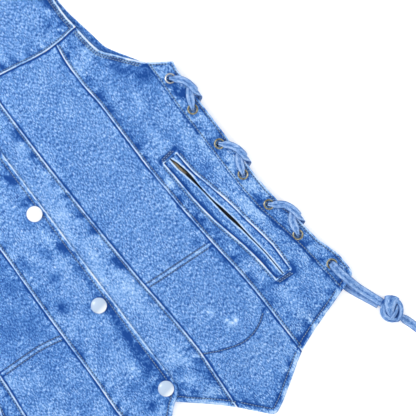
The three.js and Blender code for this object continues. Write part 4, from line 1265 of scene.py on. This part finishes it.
def turned(profile: Sequence[tuple[float, float]], sides: int) -> tuple[np.ndarray, list]:
    """A shape turned round an upright axis.

    Args:
        profile: (radius, height) from the outside bottom round to where it starts, or from axis to axis.
        sides: how many steps there are round it.

    Returns:
        The vertices and the faces.
    """
    angle = np.linspace(0, 2 * math.pi, sides, endpoint=False)
    rings = [
        np.stack([radius * np.cos(angle), radius * np.sin(angle), np.full(sides, height)], axis=1)
        for radius, height in profile
    ]
    vertices, faces = np.vstack(rings), []
    closed = profile[0][0] > 0.01
    count = len(profile)
    for n in range(count if closed else count - 1):
        for k in range(sides):
            a, b = n * sides + k, n * sides + (k + 1) % sides
            c, d = ((n + 1) % count) * sides + (k + 1) % sides, ((n + 1) % count) * sides + k
            faces.append([a, b, c, d])
    return vertices, faces


@dataclass(frozen=True)
class Snap:
    """A snap with a domed cap."""

    radius: float = 8.0
    height: float = 3.0

    def build(self, name: str, across: float, down: float, material: Material) -> None:
        """Makes the cap where its node is."""
        low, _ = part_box(name)
        r, h = self.radius, self.height
        shoulder = 1.3
        rim = [
            (0.02, 0.0), (r - 0.6, 0.0), (r - 0.15, 0.15), (r, 0.55), (r - 0.1, 0.95), (r - 0.45, 1.2),
            (r - 0.9, shoulder),
        ]
        dome = [
            (r * s, shoulder + (h - shoulder) * (1 - (s / 0.9) ** 2.2))
            for s in (0.88, 0.8, 0.68, 0.54, 0.4, 0.26, 0.12, 0.003)
        ]
        vertices, faces = turned([*rim, *dome], 40)
        centre = np.array([across, MID_DOWN - down, low[2] / MM])
        piece = new_object(name + "_cap", (vertices + centre) * MM, faces, material)
        place(piece, "snap_metal", name)


@dataclass(frozen=True)
class Eyelet:
    """A brass eyelet with a rolled flange."""

    hole: float = 3.6
    flange: float = 5.5
    height: float = 0.8

    def ring(self, foot: float) -> tuple[np.ndarray, list]:
        """The eyelet round the origin, with its barrel reaching down to foot."""
        hole, flange, height = self.hole, self.flange, self.height
        arc = [
            (flange - 0.12, 0.12 * height), (flange, 0.42 * height), (flange - 0.35, 0.75 * height),
            (flange - 0.8, 0.97 * height), (flange - 1.15, height), (hole + 0.55, 0.85 * height),
            (hole + 0.18, 0.55 * height), (hole, 0.1 * height),
        ]
        return turned([(hole + 0.2, 0.0), (flange - 0.5, 0.0), *arc, (hole, foot), (hole + 0.2, foot)], 36)

    def build(self, side: Side, material: Material, first: Material) -> None:
        """Makes a side's eyelets, and the same rings on the back's strip, underneath."""
        below = []
        for n, (across, down) in enumerate(EYELETS, 1):
            node = f"eyelet_{side.label}_{n}"
            seat = float(front_under(side, np.array(across), np.array(down))) + STRIP_DENIM + SEAM_GAP
            vertices, faces = self.ring(-STRIP_DENIM - SEAM_GAP)
            centre = np.array([side.sign * across, MID_DOWN - down, seat])
            piece = new_object(node + "_ring", (vertices + centre) * MM, faces, first if n == 1 else material)
            place(piece, "eyelet_metal", node)
            vertices, faces = self.ring(-DENIM * 0.5)
            under = np.array([side.sign * across, MID_DOWN - down, BACK_STRIP_CLEAR - 0.02])
            below.append((vertices * [1, -1, -0.6] + under, faces))
        vertices, faces = merged(below)
        place(new_object(f"back_eyelets_{side.label}", vertices * MM, faces, material), "eyelet_metal")


# Lacing

# The lace's width and thickness, flat and bunched up in an eyelet, and its width inside and round the edge
LACE_WIDTH, LACE_THICKNESS = 8.6, 1.3
BUNCHED_WIDTH, BUNCHED_THICKNESS = 3.6, 2.2
INSIDE_WIDTH, TURNED_WIDTH = 5.6, 7.4

# The heights of its middle: over an eyelet, on the strip, at a crossing, below the back and inside the vest
TOP = STRIP_CLEAR + STRIP_DENIM
OVER_FLANGE = TOP + SEAM_GAP + 0.8 + 0.35 + LACE_THICKNESS / 2
ON_STRIP = TOP + 0.5 + LACE_THICKNESS / 2
CROSSING = ON_STRIP + LACE_THICKNESS + 0.9
BELOW = 0.2 + LACE_THICKNESS / 2
INSIDE_LOW = BACK_STRIP_CLEAR + DENIM + 0.3 + LACE_THICKNESS / 2
INSIDE_HIGH = STRIP_CLEAR - 0.6 - LACE_THICKNESS / 2
UP, DOWNWARDS = (0, 0, 1), (0, 0, -1)
TAIL_FRONT = [
    (208, 408.8, OVER_FLANGE + 0.2), (208.1, 412.4, OVER_FLANGE), (208.4, 416.5, OVER_FLANGE),
    (209, 421, ON_STRIP + 0.3), (210.8, 429, ON_STRIP + 0.1), (212.6, 437, ON_STRIP - 0.8),
    (215, 446, 5.6), (218, 454, 4.0), (221, 462, 4.4), (223.9, 469.6, 6.4),
]
TAIL_BACK = [
    (207.6, 412.4, BELOW), (206.8, 417, BELOW), (205.9, 424, BELOW), (205.8, 432, BELOW), (207.4, 440, BELOW),
    (210.6, 448, BELOW), (214.2, 456, BELOW), (217.6, 463.2, BELOW + 0.9), (221.3, 471.3, 4.0),
]
TAIL_END = [
    (231.7, 493.9, 4.2), (233.5, 499.2, 2.2), (235.8, 505.5, BELOW), (237.6, 511.5, BELOW),
    (239.6, 518, BELOW), (242, 526, BELOW),
]
KNOT = (228.0, 482.0, 7.0)

# The long strand's way through the knot, with its width and thickness there, and its width where it comes out
# of the eyelet and of the knot
IN_KNOT = [((226.4, 477, 6.6), 7, 1.6), ((229, 486, 6.2), 6, 1.8)]
NECK_WIDTH = 6.0

# A station of a lace: across, down, height, its flat side's direction (across, down, up), width, thickness
Station = tuple[float, float, float, float, float, float, float, float]


def station(
    across: float, down: float, z: float, normal: Sequence[float],
    width: float = LACE_WIDTH, thickness: float = LACE_THICKNESS,
) -> Station:
    """One place that a lace passes."""
    return (across, down, z, *normal, width, thickness)


def heading(start: Sequence[float], end: Sequence[float]) -> tuple[float, float]:
    """The level direction from one place to another."""
    dx, dy = end[0] - start[0], end[1] - start[1]
    length = math.hypot(dx, dy)
    return dx / length, dy / length


def in_hole(eyelet: Sequence[float], z0: float, z1: float, way: Sequence[float]) -> list[Station]:
    """The lace bunched up in an eyelet, its flat side turned to the way it leaves."""
    turn = -math.copysign(1, z1 - z0)
    normal = (way[0] * turn, way[1] * turn, 0)
    return [station(*eyelet, z, normal, BUNCHED_WIDTH, BUNCHED_THICKNESS) for z in (z0, z1)]


def leaving(
    eyelet: Sequence[float], spot: Sequence[float], z: float, normal: Sequence[float],
) -> list[Station]:
    """Outside an eyelet, on the way to a spot."""
    dx, dy = heading(eyelet, spot)
    return [
        station(eyelet[0] + dx * reach, eyelet[1] + dy * reach, z, normal, width, thickness)
        for reach, width, thickness in ((2.2, 4.4, 1.5), (6, 7.4, LACE_THICKNESS))
    ]


def edge_at(down: float) -> float:
    """The strip's outer edge."""
    return float(Reader(STRIP_OUTER)(min(max(down, 153.5), 428)))


def wrap_over(start: Sequence[float], end: Sequence[float]) -> list[Station]:
    """From the upper eyelet, over the other strand and the edge, to the next eyelet of the back."""
    middle = (start[1] + end[1]) / 2 - 1
    edge = edge_at(middle + 6)
    wide = TURNED_WIDTH
    turn = [
        station(edge - 2.4, middle - 10.5, CROSSING - 0.4, UP, wide),
        station(edge + 1.0, middle - 4, CROSSING, UP, wide),
        station(edge + 2.4, middle + 3, CROSSING, UP, wide),
        station(edge + 3.0, middle + 8.5, CROSSING - 1.0, (0.5, 0, 0.86), wide),
        station(edge + 4.4, middle + 12, TOP / 2 + 0.8, (1, 0, 0), wide),
        station(edge + 2.9, middle + 13, BELOW + 0.9, (0.6, 0, -0.8), wide),
        station(edge - 2.6, middle + 14.5, BELOW, DOWNWARDS),
    ]
    return leaving(start, turn[0], OVER_FLANGE, UP) + turn + leaving(end, turn[-1], BELOW, DOWNWARDS)[::-1]


def wrap_under(start: Sequence[float], end: Sequence[float]) -> list[Station]:
    """From an eyelet of the back, round the edge and under the other strand, to the front's next eyelet."""
    middle = (start[1] + end[1]) / 2 - 1
    edge = edge_at(middle)
    wide = TURNED_WIDTH
    turn = [
        station(edge - 3, middle - 4.6, BELOW, DOWNWARDS),
        station(edge + 2, middle - 3.2, BELOW + 0.8, (0.6, 0, -0.8), wide),
        station(edge + 2.6, middle - 2, TOP / 2 + 0.3, (1, 0, 0), wide),
        station(edge + 2, middle - 0.6, ON_STRIP - 0.1, (0.6, 0, 0.8), wide),
        station(edge - 1.6, middle + 3, ON_STRIP + 0.1, UP, wide),
        station(edge - 4.6, middle + 7.5, ON_STRIP, UP),
    ]
    return leaving(start, turn[0], BELOW, DOWNWARDS) + turn + leaving(end, turn[-1], OVER_FLANGE, UP)[::-1]


def inside_run(start: Sequence[float], end: Sequence[float], way: int, z0: float, z1: float) -> list[Station]:
    """Between two eyelets, hidden between the front's strip and the back's."""
    return [
        station(eyelet[0] + way * dx, eyelet[1] + dy, z, UP, width)
        for eyelet, dx, dy, z, width in (
            (start, 1.2, 2.4, z0, 4.2), (start, 3.9, 8, z0, INSIDE_WIDTH),
            (end, 3.9, -8, z1, INSIDE_WIDTH), (end, 1.2, -2.4, z1, 4.2),
        )
    ]


def lacing(starts_above: bool) -> list[Station]:
    """One half of the lacing, from the first eyelet of the front (or of the back) to the last."""
    above = (INSIDE_HIGH + 1.1, OVER_FLANGE - 0.9)
    below = (INSIDE_LOW - 1.0, BELOW + 0.6)
    leave, arrive = (above, below) if starts_above else (below, above)
    depths = (INSIDE_LOW, INSIDE_HIGH) if starts_above else (INSIDE_HIGH, INSIDE_LOW)
    way = 1 if starts_above else -1
    out: list[Station] = []
    for n in range(0, len(EYELETS) - 1, 2):
        first, second, third = EYELETS[n:n + 3]
        wrap = (wrap_over if starts_above else wrap_under)(first, second)
        way_out, way_in = heading(first, wrap[2]), heading(wrap[-3], second)
        if n == 0:
            start = (INSIDE_LOW + INSIDE_HIGH) / 2 + way * SEAM_GAP / 2
            normal = (-way_out[0] * way, -way_out[1] * way, 0)
            out.append(station(*first, start, normal, BUNCHED_WIDTH, BUNCHED_THICKNESS))
        out += in_hole(first, *leave, way_out) + wrap
        out += in_hole(second, arrive[1], arrive[0], (-way_in[0], -way_in[1]))
        out += inside_run(second, third, way, *depths)
    return out + in_hole(EYELETS[-1], *leave, (0.1, 1))


@dataclass
class Lace:
    """A side's lace: a folded, stitched strip of denim in two strands, a knot and a free end."""

    side: Side
    steps: int = 7

    def world(self, points: np.ndarray) -> np.ndarray:
        """Places (across, down, up) as x, y, z in millimetres."""
        return points * [self.side.sign, -1, 1] + [0, MID_DOWN, 0]

    def strand(self, stations: Sequence[Station], bent: float = 0.0) -> tuple[np.ndarray, list, np.ndarray]:
        """The tape through some stations: vertices, faces and its place on the cloth."""
        rows = spline(stations, self.steps)
        normals = rows[:, 3:6] / (np.linalg.norm(rows[:, 3:6], axis=1)[:, None] + TINY)
        section = flat_section()
        section = section - np.stack([0 * section[:, 0], bent * (4 * section[:, 0] ** 2 - 0.4)], axis=1)
        points = self.world(rows[:, :3])
        up = normals * [self.side.sign, -1, 1]
        vertices, faces = swept(points, up, rows[:, 6], rows[:, 7], section)
        run = np.concatenate([[0], np.cumsum(np.linalg.norm(np.diff(points, axis=0), axis=1))])
        sides = np.linalg.norm(np.diff(np.vstack([section, section[:1]]), axis=0), axis=1)
        girth = np.cumsum(sides) * LACE_WIDTH
        pattern = np.stack(np.broadcast_arrays(girth[None, :], run[:, None]), axis=-1).reshape(-1, 2) * MM
        return vertices, faces, pattern

    def tape(self, name: str, stations: Sequence[Station], material: Material) -> Piece:
        """One strand as an object."""
        vertices, faces, pattern = self.strand(stations)
        piece = new_object(name, vertices * MM, faces, material)
        paint(piece, self.wear_and_shade(pattern), pattern)
        return piece

    def wear_and_shade(self, pattern: np.ndarray) -> np.ndarray:
        """The fading along a tape: a seam down its middle, pale sides, and dark edges whose darkness is
        painted shadow.
        """
        ring = np.resize(np.abs(flat_section()[:, 0]), len(pattern))
        return (
            # the dark edges are painted shadow
            0.4 * bell(ring, 0.3, 0.12) - 0.9 * ease(0.42, 0.5, ring) - 0.4 * bell(ring, 0, 0.05)
            + 0.3 * RIPPLE(pattern[:, 1] / MM / 5, ring * 3)
        )

    def build(self, cloth: "Wardrobe") -> None:
        """Makes the lacing, the loose strands and the knot."""
        label = self.side.label
        for part, above in (("front", True), ("back", False)):
            node = f"lacing_{part}_{label}"
            place(self.tape(node + "_tape", lacing(above), cloth.lace), "lace_denim", node)
        through = [station(*spot, UP, LACE_WIDTH if n else NECK_WIDTH) for n, spot in enumerate(TAIL_FRONT)]
        through += [station(*spot, UP, width, thickness) for spot, width, thickness in IN_KNOT]
        through += [station(*spot, UP, LACE_WIDTH if n else NECK_WIDTH) for n, spot in enumerate(TAIL_END)]
        long_tail = self.tape(f"tail_front_{label}_tape", through, cloth.lace)
        place(long_tail, "lace_denim", f"tail_front_{label}", f"tail_end_{label}")
        self.free_cord(through)
        lower = [station(*spot, DOWNWARDS, LACE_WIDTH if n else 4.4) for n, spot in enumerate(TAIL_BACK)]
        short_tail = self.tape(f"tail_back_{label}_tape", lower, cloth.lace)
        place(short_tail, "lace_denim", f"tail_back_{label}")
        knot = self.knot(f"knot_{label}_wrapped", cloth.lace)
        place(knot, "lace_denim", f"knot_{label}")
        self.free_cord(lower)

    def free_cord(
        self, stations: Sequence[Station],
    ) -> None:
        """Works out a loose strand's path, which is not used further."""
        path = self.world(spline(stations, self.steps)[:, :3]) * MM

    def knot(self, name: str, material: Material) -> Piece:
        """The overhand knot: bands of the tape round a core painted dark as shade."""
        turn = math.radians(KNOT_TURN)
        c, s = math.cos(turn), math.sin(turn)
        parts, fades_and_shades, patterns = [], [], []
        for n, band in enumerate(KNOT_BANDS):
            rows = []
            for x, y, z, width, thickness in band:
                spot = (KNOT[0] + c * x - s * y, KNOT[1] + s * x + c * y, KNOT[2] + z)
                outward = (x / KNOT_ROUND[0], y / KNOT_ROUND[1], (z + 1) / KNOT_ROUND[2]) if n else UP
                normal = (c * outward[0] - s * outward[1], s * outward[0] + c * outward[1], outward[2])
                rows.append(station(*spot, normal, width, thickness))
            vertices, faces, pattern = self.strand(rows, BAND_BEND if n else 0.0)
            parts.append((vertices, faces))
            # the core gets painted shade, dark between the bands
            fades_and_shades.append(self.wear_and_shade(pattern) - (0 if n else CORE_SHADE))
            patterns.append(pattern)
        vertices, faces = merged(parts)
        piece = new_object(name, vertices * MM, faces, material)
        paint(piece, np.concatenate(fades_and_shades), np.vstack(patterns))
        return piece


# The knot's core and bands, turned against the pattern: right, down, up, width and thickness
KNOT_TURN = 37.0
# How its surface turns outwards to each side, how much its bands are bent, and how much painted shade darkens
# its core
KNOT_ROUND = (110, 130, 34)
BAND_BEND = 0.8
CORE_SHADE = 2.2
KNOT_BANDS = [
    [
        (-9, -5, -1.6, 9, 6), (-5, -4, -0.4, 15, 8.6), (0, 0, 0, 17, 9.2), (4, 4, -0.4, 14, 8.6),
        (8, 8, -1.8, 8, 6),
    ],
    [
        (1, 9, 0.6, 4.5, 1.6), (-0.9, 5.5, 4.3, 5.6, 1.8), (-1.8, 1, 5.6, 8.8, 1.9),
        (-1.9, -5, 5.8, 11.6, 1.9), (-0.4, -10, 3.8, 14, 1.9), (1.2, -12.4, 0, 14.5, 1.9),
        (1.6, -11.4, -3.6, 12, 1.8), (1, -6, -5.2, 8, 1.6),
    ],
    [
        (1.5, -9, 1.5, 5, 1.6), (6, -8.6, 3.2, 5.6, 1.9), (9.2, -4.6, 3.6, 5.6, 1.9),
        (10.2, 1, 3.4, 5.6, 1.9), (9.2, 6.6, 3.2, 5.6, 1.9), (6.4, 11, 1.2, 5.6, 1.9),
        (3, 11.4, -3, 5.2, 1.8),
    ],
    [
        (-7, -6, 1.6, 5, 1.6), (-8.8, -1, 3.0, 6.4, 1.9), (-8.4, 4.8, 3.2, 6.8, 1.9),
        (-4.2, 9.2, 3.2, 7, 1.9), (1.6, 10.8, 2.4, 7, 1.9), (6.4, 10.2, 0.4, 6.4, 1.9),
        (8.6, 7, -3, 5, 1.8),
    ],
    [
        (6.4, -5, 2.8, 3, 1.4), (5.4, -0.8, 4.4, 3.6, 1.6), (3.6, 3.6, 4.8, 3.8, 1.6),
        (0.8, 7.6, 4.2, 3.8, 1.6), (-2.6, 10, 1.2, 3.4, 1.5),
    ],
]


# Finishes


class Nodes:
    """Adds nodes to a shader tree and links them."""

    def __init__(self, tree: Tree) -> None:
        """Works on one tree."""
        self.tree = tree

    def feed(self, node: bpy.types.Node, inputs: dict) -> None:
        """Links a node's inputs, named or numbered, to sockets, or sets them to values."""
        for key, value in inputs.items():
            if isinstance(value, Socket):
                self.tree.links.new(value, node.inputs[key])
            else:
                node.inputs[key].default_value = value

    def add(self, kind: str, inputs: dict | None = None, **settings: object) -> bpy.types.Node:
        """A new node.

        Args:
            kind: the node's type.
            inputs: sockets to link or values to set, by name or number.
            settings: the node's own settings.

        Returns:
            The node.
        """
        node = self.tree.nodes.new(kind)
        for name, value in settings.items():
            setattr(node, name, value)
        self.feed(node, inputs or {})
        return node

    def math(self, operation: str, a: object, b: object = 0.0, clamp: bool = False) -> Socket:
        """The result of a sum."""
        return self.add("ShaderNodeMath", {0: a, 1: b}, operation=operation, use_clamp=clamp).outputs[0]

    def plus(self, a: object, b: object) -> Socket:
        """The sum of two."""
        return self.math("ADD", a, b)

    def less(self, a: object, b: object, clamp: bool = False) -> Socket:
        """The first less the second."""
        return self.math("SUBTRACT", a, b, clamp)

    def times(self, a: object, b: object, clamp: bool = False) -> Socket:
        """The product of two."""
        return self.math("MULTIPLY", a, b, clamp)

    def grain(self, vector: Socket, scale: Sequence[float], detail: float) -> Socket:
        """Noise between about 0 and 1, with a scale for each direction."""
        spot = self.add("ShaderNodeVectorMath", {0: vector, 1: tuple(scale)}, operation="MULTIPLY").outputs[0]
        return self.add("ShaderNodeTexNoise", {"Vector": spot, "Scale": 1.0, "Detail": detail}).outputs["Fac"]

    def colours(self, share: object, first: object, second: object) -> Socket:
        """A colour between two."""
        return self.add("ShaderNodeMix", {0: share, 6: first, 7: second}, data_type="RGBA").outputs[2]


class Surface(Nodes):
    """A new material, with its shader."""

    def __init__(self, name: str) -> None:
        """Makes the material."""
        self.material = bpy.data.materials.new(name)
        self.material.use_nodes = True
        super().__init__(self.material.node_tree)

    def finished(self, inputs: dict) -> Material:
        """The material, with its shader's inputs set or linked."""
        self.feed(self.tree.nodes["Principled BSDF"], inputs)
        return self.material

    def place(self, kind: str = "Object") -> Socket:
        """The place on the piece."""
        return self.add("ShaderNodeTexCoord").outputs[kind]

    def bump(self, strength: float, distance: float, height: Socket) -> Socket:
        """The normals of a bumpy surface."""
        inputs = {"Strength": strength, "Distance": distance, "Height": height}
        return self.add("ShaderNodeBump", inputs).outputs[0]


# The scales of slubs, weft and specks by the metre, the twill's slope and pitch, the tone of plain cloth and
# the colour of cloth worn bare
THREADS = ((1000, 330, 1), (420, 1200, 1), (1300, 900, 1))
TWILL_SLOPE, TWILL_PITCH = 0.62, 0.0011
PLAIN_TONE = 0.48
BARE = (0.74, 0.80, 0.90, 1)


def washed_twill() -> Tree:
    """The group for washed denim: threads, mottle and bare worn cloth, from the place on the cloth and the
    fading, which also carries painted shade.
    """
    tree = bpy.data.node_groups.new("washed_twill", "ShaderNodeTree")
    vector, number, colour = "NodeSocketVector", "NodeSocketFloat", "NodeSocketColor"
    for name, kind, way in (
        ("Cloth", vector, "INPUT"), ("Fading and shade", number, "INPUT"), ("Mottle", number, "INPUT"),
        ("Dark", colour, "INPUT"), ("Middle", colour, "INPUT"), ("Pale", colour, "INPUT"),
        ("Color", colour, "OUTPUT"), ("Roughness", number, "OUTPUT"), ("Height", number, "OUTPUT"),
    ):
        tree.interface.new_socket(name, in_out=way, socket_type=kind)
    nodes = Nodes(tree)
    given = nodes.add("NodeGroupInput").outputs
    cloth = given["Cloth"]
    slub, weft, speck = (nodes.grain(cloth, scale, 0.0) for scale in THREADS)
    cloud = nodes.grain(cloth, (80, 50, 1), 3.0)
    parts = nodes.add("ShaderNodeSeparateXYZ", {0: cloth}).outputs
    diagonal = nodes.plus(parts[0], nodes.times(parts[1], TWILL_SLOPE))
    twill = nodes.math("SINE", nodes.times(diagonal, 2 * math.pi / TWILL_PITCH))
    shares_of_grain = (
        nodes.times(nodes.less(noise, 0.5), size)
        for noise, size in ((slub, 1.6), (speck, 1.4), (weft, 0.3), (cloud, 0.35))
    )
    mottle = nodes.times(functools.reduce(nodes.plus, shares_of_grain), given["Mottle"])
    # how strongly the fading and the painted shade mark the cloth; this calms the mottle there
    worn = nodes.times(nodes.math("ABSOLUTE", given["Fading and shade"]), 0.7, clamp=True)
    mottle = nodes.times(mottle, nodes.less(1.0, nodes.times(worn, 0.7)))
    tone = nodes.plus(mottle, nodes.times(twill, 0.035))
    tone = nodes.plus(tone, nodes.times(given["Fading and shade"], 0.5))
    tone = nodes.plus(tone, PLAIN_TONE)
    low = nodes.times(tone, 2.0, clamp=True)
    high = nodes.less(nodes.times(tone, 2.0), 1.0, clamp=True)
    bare = nodes.less(nodes.times(tone, 2.2), 2.2, clamp=True)
    color = nodes.colours(low, given["Dark"], given["Middle"])
    color = nodes.colours(high, color, given["Pale"])
    color = nodes.colours(bare, color, BARE)
    rough = nodes.plus(nodes.times(speck, 0.12), 0.8)
    height = nodes.plus(nodes.times(twill, 0.3), nodes.times(slub, 1.2))
    nodes.add("NodeGroupOutput", {"Color": color, "Roughness": rough, "Height": height})
    return tree


@dataclass(frozen=True)
class Cloth:
    """A washed denim finish."""

    name: str
    dark: tuple[float, float, float]
    middle: tuple[float, float, float]
    pale: tuple[float, float, float]
    mottle: float = 1.0

    def material(self, twill: Tree) -> Material:
        """The shader."""
        nodes = Surface(self.name)
        spot = nodes.add("ShaderNodeUVMap", uv_map="pattern").outputs[0]
        fade_and_shade = nodes.add("ShaderNodeAttribute", attribute_name="fade_and_shade").outputs["Fac"]
        group = nodes.add("ShaderNodeGroup", node_tree=twill)
        nodes.feed(group, {
            "Cloth": spot, "Fading and shade": fade_and_shade, "Mottle": self.mottle,
            "Dark": (*self.dark, 1), "Middle": (*self.middle, 1), "Pale": (*self.pale, 1),
        })
        return nodes.finished({
            "Sheen Weight": 0.1, "Specular IOR Level": 0.15, "Base Color": group.outputs["Color"],
            "Roughness": group.outputs["Roughness"],
            "Normal": nodes.bump(0.22, 0.0005, group.outputs["Height"]),
        })


def sewing_thread(name: str, color: Sequence[float]) -> Material:
    """Twisted cotton thread."""
    nodes = Surface(name)
    grain = nodes.grain(nodes.place(), (2600, 2600, 2600), 3.0)
    dark, pale = ((*[min(1.0, share * c) for c in color], 1) for share in (0.62, 1.3))
    return nodes.finished({
        "Sheen Weight": 0.2, "Base Color": nodes.colours(grain, dark, pale),
        "Roughness": nodes.plus(nodes.times(grain, 0.15), 0.78), "Normal": nodes.bump(0.4, 0.0001, grain),
    })


def worn_metal(name: str, bright: Sequence[float], dull: Sequence[float], roughness: float) -> Material:
    """A metal with dull and bright patches and fine scratches."""
    nodes = Surface(name)
    spot = nodes.place()
    patch = nodes.grain(spot, (420, 420, 420), 3.0)
    scratch = nodes.grain(spot, (300, 4200, 1200), 2.0)
    share = nodes.times(nodes.less(patch, 0.32), 2.6, clamp=True)
    return nodes.finished({
        "Metallic": 1.0, "Base Color": nodes.colours(share, (*dull, 1), (*bright, 1)),
        "Roughness": nodes.plus(nodes.times(scratch, 0.2), roughness),
        "Normal": nodes.bump(0.15, 0.0001, scratch),
    })


def pearly(name: str, body: Sequence[float]) -> Material:
    """A pearly cap, with a painted highlight: a pale crescent along its lower edge."""
    nodes = Surface(name)
    parts = nodes.add("ShaderNodeSeparateXYZ", {0: nodes.place("Generated")}).outputs
    # painted highlight, paler towards the cap's lower edge
    lean = nodes.plus(nodes.times(parts[1], -3.4), nodes.times(parts[0], 0.5))
    share = nodes.math("ADD", lean, 1.0, clamp=True)
    return nodes.finished({
        "Roughness": 0.32, "Coat Weight": 0.4,
        "Base Color": nodes.colours(share, (*body, 1), (0.95, 0.97, 0.98, 1)),
    })


class Wardrobe:
    """All the finishes of the vest."""

    def __init__(self) -> None:
        """Makes the materials."""
        twill = washed_twill()
        self.denim, self.inside, self.lace, self.lining = (Cloth(*row).material(twill) for row in (
            ("washed_denim", (0.0067, 0.058, 0.275), (0.094, 0.262, 0.64), (0.40, 0.60, 0.88)),
            ("denim_inside", (0.10, 0.20, 0.42), (0.30, 0.42, 0.62), (0.62, 0.70, 0.80), 0.7),
            ("lace_denim", (0.02, 0.085, 0.30), (0.150, 0.300, 0.62), (0.48, 0.64, 0.90), 0.55),
            # the lining's near-black dark colour is painted shadow, used where the lips hide the bag
            ("tan_cotton_painted_shadow", (0.008, 0.009, 0.012), (0.34, 0.27, 0.17), (0.6, 0.5, 0.36), 0.4),
        ))
        self.thread = sewing_thread("grey_thread", (0.27, 0.41, 0.50))
        # dark pieces that paint the shade inside the needle's holes
        self.hole = sewing_thread("needle_hole_painted_shade", (0.008, 0.045, 0.19))
        self.brass = worn_metal("antique_brass", (0.56, 0.52, 0.36), (0.13, 0.115, 0.075), 0.22)
        self.nickel = worn_metal("worn_nickel", (0.82, 0.84, 0.85), (0.30, 0.30, 0.30), 0.2)
        self.pearl = pearly("pearly_cap", (0.45, 0.56, 0.72))
        self.bright_pearl = pearly("bright_cap", (0.88, 0.90, 0.92))


# The room

# The lamps' names, places, sizes and powers, and the place that they point at, in metres and watts
LAMPS = (("key", (-0.75, 1.0, 1.25), 0.7, 13.0), ("fill", (1.0, -0.7, 1.3), 1.2, 2.5))
LAMP_AIM = (0.08, -0.08, 0.0)


@dataclass(frozen=True)
class Studio:
    """The camera straight above, turned as in the picture, soft light and a pale floor."""

    centre: tuple[float, float] = (142.9, 291.3)
    turn: float = -37.0
    lens: float = 100.0
    sensor: float = 36.0
    field: float = 416.0
    level: float = 5.0

    def camera(self) -> None:
        """Places the camera."""
        data = bpy.data.cameras.new("camera")
        data.lens, data.sensor_width = self.lens, self.sensor
        camera = bpy.data.objects.new("camera", data)
        height = self.field * self.lens / self.sensor + self.level
        camera.location = (self.centre[0] * MM, (MID_DOWN - self.centre[1]) * MM, height * MM)
        camera.rotation_euler = (0, 0, math.radians(self.turn))
        bpy.context.scene.collection.objects.link(camera)
        bpy.context.scene.camera = camera

    def light(self) -> None:
        """Adds the soft light of the room and one large lamp."""
        world = bpy.data.worlds.new("room")
        world.use_nodes = True
        world.node_tree.nodes["Background"].inputs["Color"].default_value = (0.98, 0.99, 1.0, 1)
        world.node_tree.nodes["Background"].inputs["Strength"].default_value = 0.92
        bpy.context.scene.world = world
        for name, spot, size, power in LAMPS:
            data = bpy.data.lights.new(name, "AREA")
            data.shape, data.size, data.energy = "DISK", size, power
            lamp = bpy.data.objects.new(name, data)
            lamp.location = spot
            aim = np.array(LAMP_AIM) - np.array(spot)
            lamp.rotation_euler = (
                math.acos(-aim[2] / np.linalg.norm(aim)), 0, math.atan2(aim[1], aim[0]) - math.pi / 2)
            bpy.context.scene.collection.objects.link(lamp)

    def floor(self) -> None:
        """Lays the floor."""
        nodes = Surface("pale_floor")
        shade = nodes.grain(nodes.place(), (3.0, 3.0, 3.0), 2.0)
        material = nodes.finished({
            "Base Color": nodes.colours(shade, (0.88, 0.88, 0.88, 1), (0.9, 0.9, 0.9, 1)), "Roughness": 0.9,
            "Emission Color": (1, 1, 1, 1), "Emission Strength": 0.32,
        })
        half = 3.0
        corners = [(-half, -half, 0), (half, -half, 0), (half, half, 0), (-half, half, 0)]
        floor = new_object("floor", np.array(corners) - [0, 0, 0.0002], [[0, 1, 2, 3]], material)


def main() -> None:
    """Builds the scene, piece by piece."""
    logging.basicConfig(level=logging.INFO, format="%(message)s")
    bpy.context.scene.view_settings.view_transform = "Standard"
    studio = Studio()
    studio.camera()
    cloth = Wardrobe()
    for side in Side:
        Lace(side).build(cloth)
    studio.light()
    studio.floor()
    for side in Side:
        # holes gathers the dark pieces of painted shade at the needle's holes
        thread, holes = Thread(), Thread(radius=HOLE_MARK)
        Front(side).build(cloth, thread, holes)
        thread.build(f"stitching_{side.label}", cloth.thread, "denim")
        holes.build(f"needle_holes_{side.label}", cloth.hole, "denim")
        Eyelet().build(side, cloth.brass, cloth.nickel)
        LOG.info("%s front done", side.label)
    back = back_panel()
    back.line(back.build(cloth.inside), cloth.denim)
    for n, (across, down) in enumerate(SNAPS, 1):
        Snap().build(f"snap_{n}", across, down, cloth.bright_pearl if n == 2 else cloth.pearl)


if __name__ == "__main__":
    main()
